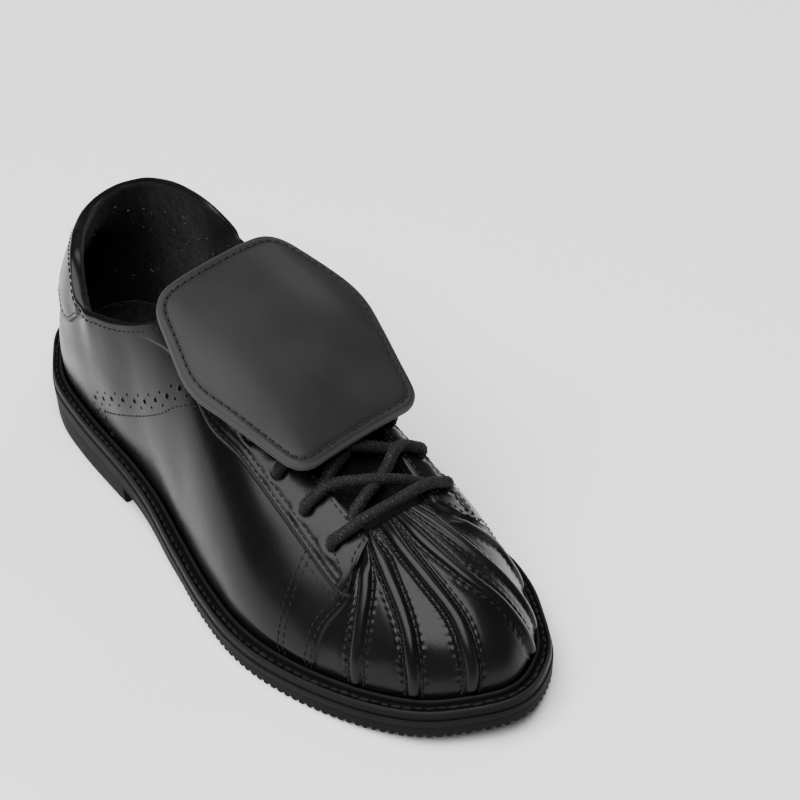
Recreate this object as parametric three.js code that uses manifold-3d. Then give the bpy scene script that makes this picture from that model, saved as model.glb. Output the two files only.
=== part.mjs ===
// A right derby shoe with a ribbed shell toe, a welted rubber sole with a heel, and a leather flap over its laces.
// Millimetres. The toe points along +X, the inner side of the foot is +Y, and up is +Z.
import * as THREE from 'three';
import { mergeVertices } from 'three/addons/utils/BufferGeometryUtils.js';
import Module from 'manifold-3d';

const wasm = await Module();
wasm.setup();

// Sole
const length = 300;
const ballWidth = 106;
const heelWidth = 74;
const heelHeight = 23.5;
const soleThickness = 12;
const toeLift = 6.5;
const toeSpring = 7;
const heelLength = 100;
const archEnd = 152;
const breastHeight = 8.5;
const bandFlare = 0.5;
const heelFlare = 2.5;
const heelCentre = 3;
const floorBevel = 1.6;
const lugPitch = 7;
const lugWidth = 3;
const lugDepth = 1.4;

// Welt
const weltThickness = 4;
const foreWelt = 6.3;
const heelWelt = 5.3;
const beadHeight = 1.4;
const beadWidth = 1.6;
const channelDepth = 0.8;
const gap = 0.3;

// Upper
const instepHeight = 100;
const wall = 1.8;
const collarPad = 3.2;
const footRise = 0.6;
const rimRise = 1.3;
const stepWidth = 0.6;
const quarterStep = 1.2;
const eyestayStep = 1.1;
const tabStep = 1.8;
const ribWidth = 4.8;
const ribHeight = 1.7;

// Eyelets and laces
const eyeletRadius = 2;
const eyeletPitch = 18.3;
const eyeletStart = 12;
const eyeletSetback = 13;
const eyeletRows = 4;
const laceRadius = 2.3;

// Insole, tongue and flap
const insoleThickness = 5;
const tongueThickness = 2.5;
const tongueCrown = 0.5;
const tongueOffset = 3;
const tongueGap = 0.8;
const flapLength = 80;
const flapWidth = 84;
const flapBackWidth = 58;
const flapFrontWidth = 57;
const flapWidest = 0.43;
const flapThickness = 3.4;
const flapDroop = 9.5;
const flapCorner = 9;
const flapTurn = 7.5;

const colours = {
  leather: { color: 0x0b0b0c, roughness: 0.32, metalness: 0 },
  flapLeather: { color: 0x2b2b2c, roughness: 0.5, metalness: 0 },
  rubber: { color: 0x1a1a1a, roughness: 0.75, metalness: 0 },
  lining: { color: 0x101010, roughness: 0.95, metalness: 0 },
  cord: { color: 0x0d0d0d, roughness: 0.9, metalness: 0 },
};

// Outline of the sole. at: share of the length from the heel. outer and inner: distance of the edge from the
// long axis, as a share of the sole's width there.
const outlineTip = 0.061;
const outlineRows = [
  { at: 0.027, outer: 0.25, inner: 0.325 },
  { at: 0.067, outer: 0.365, inner: 0.42 },
  { at: 0.133, outer: 0.493, inner: 0.462 },
  { at: 0.217, outer: 0.54, inner: 0.453 },
  { at: 0.3, outer: 0.541, inner: 0.4 },
  { at: 0.4, outer: 0.483, inner: 0.323 },
  { at: 0.5, outer: 0.472, inner: 0.319 },
  { at: 0.6, outer: 0.492, inner: 0.381 },
  { at: 0.667, outer: 0.509, inner: 0.44 },
  { at: 0.717, outer: 0.5, inner: 0.472 },
  { at: 0.767, outer: 0.47, inner: 0.489 },
  { at: 0.833, outer: 0.41, inner: 0.458 },
  { at: 0.9, outer: 0.323, inner: 0.378 },
  { at: 0.95, outer: 0.22, inner: 0.297 },
  { at: 0.983, outer: 0.084, inner: 0.195 },
];

// Top of the sole. at: share of the length from the heel. heel: share of the heel's extra height.
const liftRows = [
  { at: 0, heel: 1 },
  { at: 0.13, heel: 0.97 },
  { at: 0.25, heel: 0.87 },
  { at: 0.333, heel: 0.74 },
  { at: 0.4, heel: 0.38 },
  { at: 0.467, heel: 0.13 },
  { at: 0.533, heel: 0 },
  { at: 0.7, heel: 0 },
  { at: 1, heel: 0 },
];

// Underside of the waist. at: share of the way from the heel's breast to the arch's end. rise: share of the
// breast's height.
const archRows = [
  { at: 0.02, rise: 1 },
  { at: 0.2, rise: 0.84 },
  { at: 0.45, rise: 0.52 },
  { at: 0.72, rise: 0.2 },
  { at: 1, rise: 0 },
];

// Sections of the upper, once round the foot. s: place round the sole, 0 at the back of the heel, 1 at the toe,
// the outer side first. topX, topY and topZ: the upper edge, as shares of the length, of the sole's width there
// and of the instep height. lean and reach: how far the wall swells out at its foot and turns out below its upper
// edge, as shares of the ball width. rise and fall: how high those two turns lie, as shares of the instep height.
// edge: the share of the section at which the overlay above begins.
const sectionRows = [
  { s: 0, topX: 0.076, topY: 0.095, topZ: 0.88, lean: 0.014, rise: 0.26, reach: 0.024, fall: -0.2, edge: 0.585 },
  { s: 0.1, topX: 0.095, topY: -0.047, topZ: 0.88, lean: 0.014, rise: 0.26, reach: 0.033, fall: -0.18, edge: 0.58 },
  { s: 0.18, topX: 0.125, topY: -0.155, topZ: 0.895, lean: 0.019, rise: 0.26, reach: 0.052, fall: -0.17, edge: 0.57 },
  { s: 0.25, topX: 0.165, topY: -0.264, topZ: 0.915, lean: 0.019, rise: 0.27, reach: 0.085, fall: -0.16, edge: 0.56 },
  { s: 0.31, topX: 0.213, topY: -0.378, topZ: 0.9, lean: 0.019, rise: 0.27, reach: 0.075, fall: -0.18, edge: 0.6 },
  { s: 0.345, topX: 0.257, topY: -0.477, topZ: 0.81, lean: 0.009, rise: 0.26, reach: 0.009, fall: -0.2, edge: 0.92 },
  { s: 0.385, topX: 0.293, topY: -0.456, topZ: 0.815, lean: 0.009, rise: 0.26, reach: 0.019, fall: -0.18, edge: 0.93 },
  { s: 0.42, topX: 0.332, topY: -0.406, topZ: 0.84, lean: 0.009, rise: 0.26, reach: 0.038, fall: -0.16, edge: 0.93 },
  { s: 0.45, topX: 0.367, topY: -0.352, topZ: 0.88, lean: 0.009, rise: 0.27, reach: 0.066, fall: -0.16, edge: 0.92 },
  { s: 0.475, topX: 0.397, topY: -0.284, topZ: 0.925, lean: 0.009, rise: 0.27, reach: 0.094, fall: -0.14, edge: 0.86 },
  { s: 0.5, topX: 0.427, topY: -0.188, topZ: 0.975, lean: 0.009, rise: 0.28, reach: 0.132, fall: -0.1, edge: 0.74 },
  { s: 0.54, topX: 0.5, topY: -0.12, topZ: 0.875, lean: 0.009, rise: 0.28, reach: 0.189, fall: -0.09, edge: 0.665 },
  { s: 0.58, topX: 0.567, topY: -0.1, topZ: 0.778, lean: 0.009, rise: 0.27, reach: 0.208, fall: -0.085, edge: 0.707 },
  { s: 0.62, topX: 0.633, topY: -0.09, topZ: 0.692, lean: 0.009, rise: 0.24, reach: 0.208, fall: -0.085, edge: 0.707 },
  { s: 0.66, topX: 0.7, topY: -0.085, topZ: 0.615, lean: 0.009, rise: 0.2, reach: 0.189, fall: -0.09, edge: 0.687 },
  { s: 0.712, topX: 0.783, topY: -0.077, topZ: 0.54, lean: 0.009, rise: 0.15, reach: 0.132, fall: -0.09, edge: 0.612 },
  { s: 0.76, topX: 0.773, topY: -0.074, topZ: 0.56, lean: 0.014, rise: 0.15, reach: 0.132, fall: -0.05, edge: 0.6 },
  { s: 0.837, topX: 0.773, topY: -0.052, topZ: 0.566, lean: 0.019, rise: 0.155, reach: 0.16, fall: -0.03, edge: 0.6 },
  { s: 0.91, topX: 0.773, topY: -0.003, topZ: 0.571, lean: 0.019, rise: 0.17, reach: 0.208, fall: -0.02, edge: 0.6 },
  { s: 1, topX: 0.773, topY: 0.038, topZ: 0.577, lean: 0.019, rise: 0.18, reach: 0.245, fall: -0.02, edge: 0.6 },
  { s: 1.11, topX: 0.771, topY: 0.075, topZ: 0.572, lean: 0.019, rise: 0.18, reach: 0.208, fall: -0.02, edge: 0.6 },
  { s: 1.18, topX: 0.77, topY: 0.123, topZ: 0.565, lean: 0.019, rise: 0.16, reach: 0.17, fall: -0.04, edge: 0.6 },
  { s: 1.256, topX: 0.769, topY: 0.16, topZ: 0.558, lean: 0.014, rise: 0.15, reach: 0.142, fall: -0.06, edge: 0.6 },
  { s: 1.305, topX: 0.778, topY: 0.175, topZ: 0.54, lean: 0.009, rise: 0.15, reach: 0.132, fall: -0.09, edge: 0.612 },
  { s: 1.34, topX: 0.7, topY: 0.182, topZ: 0.615, lean: 0.009, rise: 0.2, reach: 0.17, fall: -0.085, edge: 0.687 },
  { s: 1.38, topX: 0.633, topY: 0.179, topZ: 0.692, lean: 0.009, rise: 0.24, reach: 0.17, fall: -0.085, edge: 0.707 },
  { s: 1.42, topX: 0.567, topY: 0.176, topZ: 0.778, lean: 0.009, rise: 0.27, reach: 0.151, fall: -0.085, edge: 0.707 },
  { s: 1.46, topX: 0.5, topY: 0.186, topZ: 0.875, lean: 0.009, rise: 0.28, reach: 0.132, fall: -0.09, edge: 0.665 },
  { s: 1.5, topX: 0.427, topY: 0.244, topZ: 0.975, lean: 0.009, rise: 0.28, reach: 0.104, fall: -0.1, edge: 0.74 },
  { s: 1.525, topX: 0.397, topY: 0.325, topZ: 0.925, lean: 0.009, rise: 0.27, reach: 0.075, fall: -0.14, edge: 0.86 },
  { s: 1.55, topX: 0.367, topY: 0.389, topZ: 0.88, lean: 0.009, rise: 0.27, reach: 0.038, fall: -0.16, edge: 0.92 },
  { s: 1.58, topX: 0.332, topY: 0.446, topZ: 0.85, lean: 0.009, rise: 0.26, reach: 0.019, fall: -0.16, edge: 0.93 },
  { s: 1.615, topX: 0.293, topY: 0.491, topZ: 0.825, lean: 0.009, rise: 0.26, reach: 0.009, fall: -0.18, edge: 0.93 },
  { s: 1.655, topX: 0.257, topY: 0.507, topZ: 0.815, lean: 0.009, rise: 0.26, reach: 0, fall: -0.2, edge: 0.92 },
  { s: 1.69, topX: 0.217, topY: 0.453, topZ: 0.9, lean: 0.019, rise: 0.27, reach: 0, fall: -0.26, edge: 0.6 },
  { s: 1.75, topX: 0.155, topY: 0.405, topZ: 0.925, lean: 0.019, rise: 0.27, reach: 0.024, fall: -0.2, edge: 0.56 },
  { s: 1.82, topX: 0.103, topY: 0.338, topZ: 0.91, lean: 0.014, rise: 0.26, reach: 0.024, fall: -0.2, edge: 0.57 },
  { s: 1.9, topX: 0.078, topY: 0.236, topZ: 0.89, lean: 0.014, rise: 0.26, reach: 0.024, fall: -0.2, edge: 0.58 },
];

// Middle line of the flap. at: share of its length from the back. height: share of the instep height.
const flapRows = [
  { at: 0, height: 1.154 },
  { at: 0.43, height: 1.035 },
  { at: 1, height: 0.762 },
];
const flapBack = { x: 0.426, y: -0.02 };

// Places round the sole, as in the sections above. The two sides' places are counted from the heel.
const quarterFront = { outer: 0.712, inner: 0.695 };
const facingTop = 0.5;
const notch = 0.345;
const ribPlaces = [0.759, 0.837, 0.905, 1.11, 1.177, 1.256];

const mix = THREE.MathUtils.lerp;
const smooth = (low, high, value) => THREE.MathUtils.smoothstep(value, low, high);
const vector = (x, y, z) => new THREE.Vector3(x, y, z);
const upward = vector(0, 0, 1);
const shares = (count) => Array.from({ length: count }, (unused, i) => i / count);

// A smooth curve through one column of a table. With a period it closes on itself.
function tableCurve(rows, key, column, period = 0) {
  const knots = rows.map((row) => row[key]);
  const values = rows.map((row) => row[column]);
  if (period) {
    knots.unshift(knots.at(-1) - period);
    values.unshift(values.at(-1));
    knots.push(knots[1] + period, knots[2] + period);
    values.push(values[1], values[2]);
  }
  const last = knots.length - 1;
  const rate = (i) => (values[i + 1] - values[i]) / (knots[i + 1] - knots[i]);
  const slopes = knots.map((knot, i) => {
    if (i === 0) return rate(0);
    if (i === last) return rate(last - 1);
    const before = knot - knots[i - 1];
    const after = knots[i + 1] - knot;
    return (rate(i - 1) * after + rate(i) * before) / (before + after);
  });
  return (place) => {
    const at = period ? THREE.MathUtils.euclideanModulo(place - knots[1], period) + knots[1] : place;
    let i = 0;
    while (i < last - 1 && knots[i + 1] <= at) i += 1;
    const step = knots[i + 1] - knots[i];
    const u = THREE.MathUtils.clamp((at - knots[i]) / step, 0, 1);
    const near = 2 * u ** 3 - 3 * u ** 2 + 1;
    const leaving = slopes[i] * (u ** 3 - 2 * u ** 2 + u);
    const arriving = slopes[i + 1] * (u ** 3 - u ** 2);
    return near * values[i] + (1 - near) * values[i + 1] + step * (leaving + arriving);
  };
}

// Width of the sole on which the outline and the upper's edge are measured
const widthAt = (share) => mix(heelWidth, ballWidth, smooth(0.25, 0.6, share));

const placeOf = (share) => Math.acos(1 - 2 * share) / Math.PI;
const edgeY = tableCurve([
  { s: 0, y: heelCentre },
  ...outlineRows.map((row) => ({ s: placeOf(row.at), y: -row.outer * widthAt(row.at) })),
  { s: 1, y: outlineTip * ballWidth },
  ...outlineRows.toReversed().map((row) => ({ s: 2 - placeOf(row.at), y: row.inner * widthAt(row.at) })),
], 's', 'y', 2);
const liftAt = tableCurve(liftRows, 'at', 'heel');

function outlineAt(s) {
  return vector((length / 2) * (1 - Math.cos(Math.PI * s)), edgeY(s), 0);
}

function outwardAt(s) {
  const step = 1e-3;
  const along = outlineAt(s + step).sub(outlineAt(s - step)).normalize();
  return vector(along.y, -along.x, 0);
}

// Heights of the sole's top edge, of the seat that carries the upper, and of the underside
function topHeight(x) {
  const share = THREE.MathUtils.clamp(x / length, 0, 1);
  const toe = Math.max(share - 0.72, 0) / 0.28;
  return soleThickness + (heelHeight - soleThickness) * liftAt(share) + toeLift * toe ** 1.8;
}
const seatHeight = (x) => topHeight(x) - weltThickness;
const floorHeight = (x) => toeSpring * Math.max((x / length - 0.75) / 0.25, 0) ** 2;
const weltAt = (x) => mix(heelWelt, foreWelt, smooth(0.25, 0.5, x / length));

// A closed skin made of rings with the same number of points
class Skin {
  constructor() {
    this.points = [];
    this.faces = [];
  }

  ring(points) {
    const first = this.points.length;
    this.points.push(...points);
    return points.map((point, i) => first + i);
  }

  join(low, high) {
    low.forEach((corner, i) => {
      const next = (i + 1) % low.length;
      this.faces.push([corner, low[next], high[next]], [corner, high[next], high[i]]);
    });
  }

  // Strips across a ring that runs down one side and back up the other
  cap(ring, up) {
    shares(ring.length / 2).forEach((share, i) => {
      const strip = [ring[i], ring[i + 1], ring.at(-i - 1), ring[(ring.length - i) % ring.length]];
      const corners = strip.filter((corner, k) => strip.indexOf(corner) === k);
      if (!up) corners.reverse();
      this.faces.push(corners.slice(0, 3));
      if (corners.length === 4) this.faces.push([corners[0], corners[2], corners[3]]);
    });
  }

  geometry() {
    const made = new THREE.BufferGeometry();
    const places = this.points.flatMap((point) => point.toArray());
    made.setAttribute('position', new THREE.Float32BufferAttribute(places, 3));
    made.setIndex(this.faces.flat());
    return made;
  }
}

// Rings stacked from the lowest to the highest and closed at both ends
function stack(rings) {
  const skin = new Skin();
  const placed = rings.map((points) => skin.ring(points));
  skin.cap(placed[0], false);
  placed.slice(1).forEach((ring, i) => skin.join(placed[i], ring));
  skin.cap(placed.at(-1), true);
  return skin.geometry();
}

// Rings that go up outside and come down inside, the last joined to the first
function hoop(rings) {
  const skin = new Skin();
  const placed = rings.map((points) => skin.ring(points));
  placed.forEach((ring, i) => skin.join(ring, placed[(i + 1) % placed.length]));
  return skin.geometry();
}

// Rows of points as a plate, its second side moved by an offset
function plate(rows, offset) {
  const skin = new Skin();
  const loop = (row) => [...row, ...row.map((point) => point.clone().add(offset)).reverse()];
  const placed = rows.map((row) => skin.ring(loop(row)));
  const half = rows[0].length;
  const end = (ring, forward) => {
    for (let i = 0; i < half - 1; i += 1) {
      const corners = [ring[i], ring[i + 1], ring[2 * half - 2 - i], ring[2 * half - 1 - i]];
      if (!forward) corners.reverse();
      skin.faces.push([corners[0], corners[1], corners[2]], [corners[0], corners[2], corners[3]]);
    }
  };
  end(placed[0], false);
  placed.slice(1).forEach((ring, i) => skin.join(placed[i], ring));
  end(placed.at(-1), true);
  return skin.geometry();
}

function toSolid(geometry) {
  const bare = geometry.clone();
  bare.deleteAttribute('normal');
  bare.deleteAttribute('uv');
  const merged = mergeVertices(bare, 1e-4);
  return new wasm.Manifold(new wasm.Mesh({
    numProp: 3,
    vertProperties: new Float32Array(merged.attributes.position.array),
    triVerts: new Uint32Array(merged.index.array),
  }));
}

function fromSolid(solid) {
  const mesh = solid.getMesh();
  const made = new THREE.BufferGeometry();
  made.setAttribute('position', new THREE.BufferAttribute(new Float32Array(mesh.vertProperties), 3));
  made.setIndex(new THREE.BufferAttribute(new Uint32Array(mesh.triVerts), 1));
  return made;
}

const cut = (body, tools) => fromSolid(tools.reduce((rest, tool) => rest.subtract(toSolid(tool)), toSolid(body)));
const weld = (bodies) => fromSolid(bodies.map(toSolid).reduce((sum, body) => sum.add(body)));

// Places round the sole at which its rings have points, closer at the toe and heel
const ringCount = 76;
const endCrowding = 0.3;
const ringPlaces = shares(ringCount).map((share) => {
  const s = 2 * share;
  return s - (endCrowding * Math.sin(2 * Math.PI * s)) / (2 * Math.PI);
});

// A ring round the sole: inset from the outline, at a height worked out from its place along the sole
function soleRing(insetAt, heightAt) {
  return ringPlaces.map((s) => {
    const edge = outlineAt(s);
    const point = edge.clone().addScaledVector(outwardAt(s), -insetAt(edge.x));
    return point.setZ(heightAt(edge.x));
  });
}

// Prisms across the sole with a profile in the side view
function crossPrism(profiles) {
  const outlines = profiles.map((profile) => new THREE.Shape(profile.map(([x, z]) => new THREE.Vector2(x, z))));
  const prism = new THREE.ExtrudeGeometry(outlines, { depth: 2 * ballWidth, bevelEnabled: false });
  return prism.rotateX(Math.PI / 2).translate(0, ballWidth, 0);
}

function outsole() {
  const spread = (x) => -heelFlare * (1 - smooth(0.02, 0.14, x / length));
  const body = stack([
    soleRing((x) => spread(x) + floorBevel, floorHeight),
    soleRing(spread, (x) => floorHeight(x) + floorBevel),
    soleRing(() => -bandFlare, (x) => seatHeight(x) - bandFlare),
    soleRing(() => 0, seatHeight),
  ]);
  const below = -heelHeight;
  const arch = archRows.map((row) => [mix(heelLength, archEnd, row.at), breastHeight * row.rise]);
  const waist = crossPrism([[[heelLength, below], ...arch, [archEnd, below]].reverse()]);
  const groove = (x) => [
    [x - lugWidth, floorHeight(x) - lugDepth],
    [x + lugWidth, floorHeight(x) - lugDepth],
    [x, floorHeight(x) + lugDepth],
  ];
  const grooves = [];
  for (let x = archEnd + 2 * lugPitch; x < length - lugPitch / 2; x += lugPitch) grooves.push(groove(x));
  for (let x = 2 * lugPitch; x < heelLength - lugPitch; x += 2 * lugPitch) grooves.push(groove(x));
  return cut(body, [waist, crossPrism(grooves)]);
}

function welt() {
  const inner = (x) => weltAt(x) - gap;
  const over = (rise) => (x) => topHeight(x) + rise;
  return hoop([
    soleRing(() => 0, (x) => seatHeight(x) + gap),
    soleRing(() => 0, over(-channelDepth)),
    soleRing(() => channelDepth, over(0)),
    soleRing((x) => inner(x) - 2 * beadWidth, over(-channelDepth)),
    soleRing((x) => inner(x) - beadWidth, over(0)),
    soleRing((x) => inner(x) - 0.7 * beadWidth, over(beadHeight)),
    soleRing((x) => inner(x) - 0.3 * beadWidth, over(beadHeight)),
    soleRing(inner, (x) => seatHeight(x) + gap),
  ]);
}

function insole() {
  const margin = (x) => weltAt(x) + wall + 2 * gap;
  return stack([
    soleRing(margin, (x) => seatHeight(x) + gap),
    soleRing(margin, (x) => seatHeight(x) + gap + 0.7 * insoleThickness),
    soleRing((x) => margin(x) + 1.5, (x) => seatHeight(x) + gap + insoleThickness),
  ]);
}

// The upper's own surface: a curve from its foot to its upper edge at every place round the sole
const columnNames = Object.keys(sectionRows[0]).filter((name) => name !== 's');
const sectionCurves = Object.fromEntries(columnNames.map((name) => [name, tableCurve(sectionRows, 's', name, 2)]));

function footAt(s) {
  const edge = outlineAt(s);
  return edge.clone().addScaledVector(outwardAt(s), -weltAt(edge.x)).setZ(topHeight(edge.x) + footRise);
}

function sectionAt(s) {
  const at = (name) => sectionCurves[name](s);
  const foot = footAt(s);
  const top = vector(at('topX') * length, at('topY') * widthAt(at('topX')), at('topZ') * instepHeight);
  const out = outwardAt(s);
  const away = foot.clone().sub(top).setZ(0);
  const far = smooth(4, 16, away.length());
  away.normalize().multiplyScalar(far).addScaledVector(out, 1 - far).normalize();
  const low = foot.clone().addScaledVector(out, at('lean') * ballWidth).addScaledVector(upward, at('rise') * instepHeight);
  const high = top.clone().addScaledVector(away, at('reach') * ballWidth).addScaledVector(upward, at('fall') * instepHeight);
  return new THREE.CubicBezierCurve3(foot, low, high, top);
}

const surfaceAt = (s, w) => sectionAt(s).getPoint(THREE.MathUtils.clamp(w, 0, 1));

function normalAt(s, w) {
  const along = surfaceAt(s + 0.008, w).sub(surfaceAt(s - 0.008, w));
  const up = surfaceAt(s, w + 0.02).sub(surfaceAt(s, w - 0.02));
  return along.cross(up).normalize();
}

const sideOf = (s) => (s <= 1 ? s : 2 - s);
const frontOf = (s) => (s <= 1 ? quarterFront.outer : quarterFront.inner);
const speedAt = (s, w) => surfaceAt(s + 0.004, w).distanceTo(surfaceAt(s - 0.004, w)) / 0.008;
const seamHalf = (s, w) => Math.min(stepWidth / speedAt(s, w), 0.004);
const edgeHalf = 0.007;

// Thickness that the quarters, the eyestays and the heel tab add to the wall
function stepAt(s, w) {
  const side = sideOf(s);
  const front = frontOf(s);
  const seamPlace = s <= 1 ? front : 2 - front;
  const over = 1 - smooth(-1, 1, (side - front) / seamHalf(seamPlace, w));
  const above = smooth(-1, 1, (w - sectionCurves.edge(s)) / edgeHalf);
  const tab = tabStep * (1 - smooth(notch - 0.012, notch, side)) * above;
  const eyestay = eyestayStep * smooth(facingTop - 0.05, facingTop, side) * above;
  const quarter = quarterStep * smooth(front - 0.12, front - 0.03, side) * smooth(0.02, 0.1, w);
  return (tab + eyestay + quarter) * over;
}

// Padding inside the collar
function padAt(s, w) {
  const round = 1 - smooth(facingTop - 0.08, facingTop - 0.01, sideOf(s));
  return collarPad * round * smooth(0.45, 0.75, w) * (1 - 0.6 * smooth(0.85, 1, w));
}

const outside = (s, w, more = 0) => surfaceAt(s, w).addScaledVector(normalAt(s, w), stepAt(s, w) + more);
const inside = (s, w, more = 0) => surfaceAt(s, w).addScaledVector(normalAt(s, w), -wall - padAt(s, w) - more);

// Columns of the upper's skin. place: where the column stands, for a share of the section. crown: its share of a
// rib's height.
function ribHalf(index, w) {
  const place = ribPlaces[index];
  const near = ribPlaces.filter((other) => other !== place).map((other) => Math.abs(other - place));
  return Math.min(ribWidth / 2 / speedAt(place, w), 0.42 * Math.min(...near));
}

function ribFade(index, w) {
  const outermost = index === 0 || index === ribPlaces.length - 1;
  return smooth(0.06, 0.16, w) * (outermost ? 1 - smooth(0.5, 0.68, w) : 1 - 0.6 * smooth(0.8, 0.97, w));
}

function upperColumns() {
  const still = (s) => ({ place: () => s, crown: () => 0 });
  const spread = (from, to, count) => shares(count).map((share) => still(mix(from, to, share)));
  const half = (front) => [
    ...spread(0, 0.31, 8),
    ...spread(0.31, 0.37, 5),
    ...spread(0.37, facingTop - 0.025, 5),
    ...spread(facingTop - 0.025, facingTop + 0.025, 4),
    ...spread(facingTop + 0.025, front - 0.012, 7),
    still(front - 0.012),
  ];
  const seam = (place, way) => ({ place: (w) => place + way * seamHalf(place, w), crown: () => 0 });
  const innerSeam = 2 - quarterFront.inner;
  const profile = [-1, -0.55, 0, 0.55, 1];
  const ribs = ribPlaces.flatMap((place, index) => [
    ...profile.map((k) => ({
      place: (w) => place + k * ribHalf(index, w),
      crown: (w) => Math.sqrt(1 - k * k) * ribFade(index, w),
    })),
    ...(index < ribPlaces.length - 1 ? between(index) : []),
  ]);
  return [
    ...half(quarterFront.outer),
    seam(quarterFront.outer, -1),
    seam(quarterFront.outer, 1),
    still(mix(quarterFront.outer, ribPlaces[0], 0.5)),
    ...ribs,
    still(mix(innerSeam, ribPlaces.at(-1), 0.5)),
    seam(innerSeam, -1),
    seam(innerSeam, 1),
    ...half(quarterFront.inner).slice(1).reverse().map((column) => still(2 - column.place())),
  ];
}

// Plain columns between a rib and the next one
function between(index) {
  const count = Math.round((ribPlaces[index + 1] - ribPlaces[index]) / 0.024) - 1;
  return Array.from({ length: count }, (unused, i) => ({
    place: (w) => {
      const from = ribPlaces[index] + ribHalf(index, w);
      const to = ribPlaces[index + 1] - ribHalf(index + 1, w);
      return mix(from, to, (i + 1) / (count + 1));
    },
    crown: () => 0,
  }));
}

// Rows of the upper's skin, as shares of the part of the section below the overlay's edge and of the part above
const lowRows = [0, 0.12, 0.26, 0.42, 0.58, 0.74, 0.88];
const highRows = [0, 0.25, 0.5, 0.75];
const innerRows = [0.9, 0.72, 0.5, 0.25, 0];

function upper() {
  const columns = upperColumns();
  const edgeOf = (column) => sectionCurves.edge(column.place(0.6));
  const row = (shareOf, pointOf) => columns.map((column) => {
    const w = shareOf(column);
    return pointOf(column, column.place(w), w);
  });
  const outer = (column, s, w) => outside(s, w, ribHeight * column.crown(w));
  const rim = (column) => 1 - rimRise / sectionAt(column.place(1)).getLength();
  const standing = (margin) => (column, s) => {
    const edge = outlineAt(s);
    return edge.clone().addScaledVector(outwardAt(s), -weltAt(edge.x) - margin).setZ(seatHeight(edge.x) + gap);
  };
  const crest = (column, s) => {
    const thick = wall + padAt(s, 1) - stepAt(s, 1);
    return surfaceAt(s, 1).addScaledVector(normalAt(s, 1), -thick / 2);
  };
  const body = hoop([
    row(() => 0, standing(0)),
    ...lowRows.map((share) => row((column) => share * (edgeOf(column) - edgeHalf), outer)),
    row((column) => edgeOf(column) - edgeHalf, outer),
    ...highRows.map((share) => row((column) => mix(edgeOf(column) + edgeHalf, rim(column), share), outer)),
    row(rim, outer),
    row(() => 1, crest),
    row(rim, (column, s, w) => inside(s, w)),
    ...innerRows.map((share) => row(() => share, (column, s, w) => inside(s, w))),
    row(() => 0, standing(wall)),
  ]);
  const holes = [true, false].flatMap((outerSide) => Array.from({ length: eyeletRows }, (unused, k) => {
    const { s, w } = eyeletAt(outerSide, k);
    const hole = new THREE.CylinderGeometry(eyeletRadius, eyeletRadius, 6 * wall, 10);
    hole.applyQuaternion(new THREE.Quaternion().setFromUnitVectors(vector(0, 1, 0), normalAt(s, w)));
    return hole.translate(...surfaceAt(s, w).toArray());
  }));
  return cut(body, holes);
}

// Walks along a curve of the surface until it has gone a distance
function walk(pointAt, start, step, distance) {
  let at = start;
  let point = pointAt(at);
  for (let gone = 0; gone < distance;) {
    at += step;
    const next = pointAt(at);
    gone += next.distanceTo(point);
    point = next;
  }
  return at;
}

// Eyelets, counted from the throat
function eyeletAt(outerSide, k) {
  const start = outerSide ? quarterFront.outer : 2 - quarterFront.inner;
  const step = outerSide ? -0.0005 : 0.0005;
  const s = walk((at) => surfaceAt(at, 1), start, step, eyeletStart + k * eyeletPitch);
  const w = walk((at) => surfaceAt(s, at), 1, -0.002, eyeletSetback);
  return { s, w };
}

// The flap's upper face, from its plan: u along it from its back edge, v across it towards the inner side
const flapSpine = tableCurve(flapRows, 'at', 'height');
const flapAngle = THREE.MathUtils.degToRad(flapTurn);
const flapInward = vector(-0.42, 0, -0.9).normalize();

function flapPoint(u, v, depth = 0) {
  const height = flapSpine(THREE.MathUtils.clamp(u / flapLength, 0, 1)) * instepHeight;
  const droop = flapDroop * Math.abs(v / (flapWidth / 2)) ** 3;
  return vector(u, v, 0)
    .applyAxisAngle(upward, flapAngle)
    .add(vector(flapBack.x * length, flapBack.y * widthAt(flapBack.x), height - droop))
    .addScaledVector(flapInward, depth);
}

// Six-sided plan with rounded corners, from the middle of the back edge along the outer side
function flapPlan() {
  const side = [
    [0, -flapBackWidth / 2],
    [flapWidest * flapLength, -flapWidth / 2],
    [flapLength, -flapFrontWidth / 2],
  ];
  const corners = [[0, 0], ...side, [flapLength, 0]].map(([u, v]) => new THREE.Vector2(u, v));
  const half = [corners[0]];
  for (let i = 1; i < corners.length - 1; i += 1) {
    const towards = (other) => corners[i].clone().add(other.clone().sub(corners[i]).setLength(flapCorner));
    const bend = new THREE.QuadraticBezierCurve(towards(corners[i - 1]), corners[i], towards(corners[i + 1]));
    half.push(half.at(-1).clone().lerp(bend.v0, 0.5), ...bend.getPoints(3));
  }
  half.push(half.at(-1).clone().lerp(corners.at(-1), 0.5), corners.at(-1));
  const back = half.slice(1, -1).reverse().map((point) => new THREE.Vector2(point.x, -point.y));
  return [...half, ...back];
}

function flap() {
  const plan = flapPlan();
  const centre = new THREE.Vector2(flapLength / 2, 0);
  const ring = (size, depth) => plan.map((point) => {
    const at = point.clone().sub(centre).multiplyScalar(size).add(centre);
    return flapPoint(at.x, at.y, depth);
  });
  return stack([
    ring(0.3, flapThickness),
    ring(0.65, flapThickness),
    ring(0.97, flapThickness),
    ring(1, 0.75 * flapThickness),
    ring(1, 0.25 * flapThickness),
    ring(0.975, 0),
    ring(0.91, 0.1 * flapThickness),
    ring(0.65, 0),
    ring(0.3, 0),
  ]);
}

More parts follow.
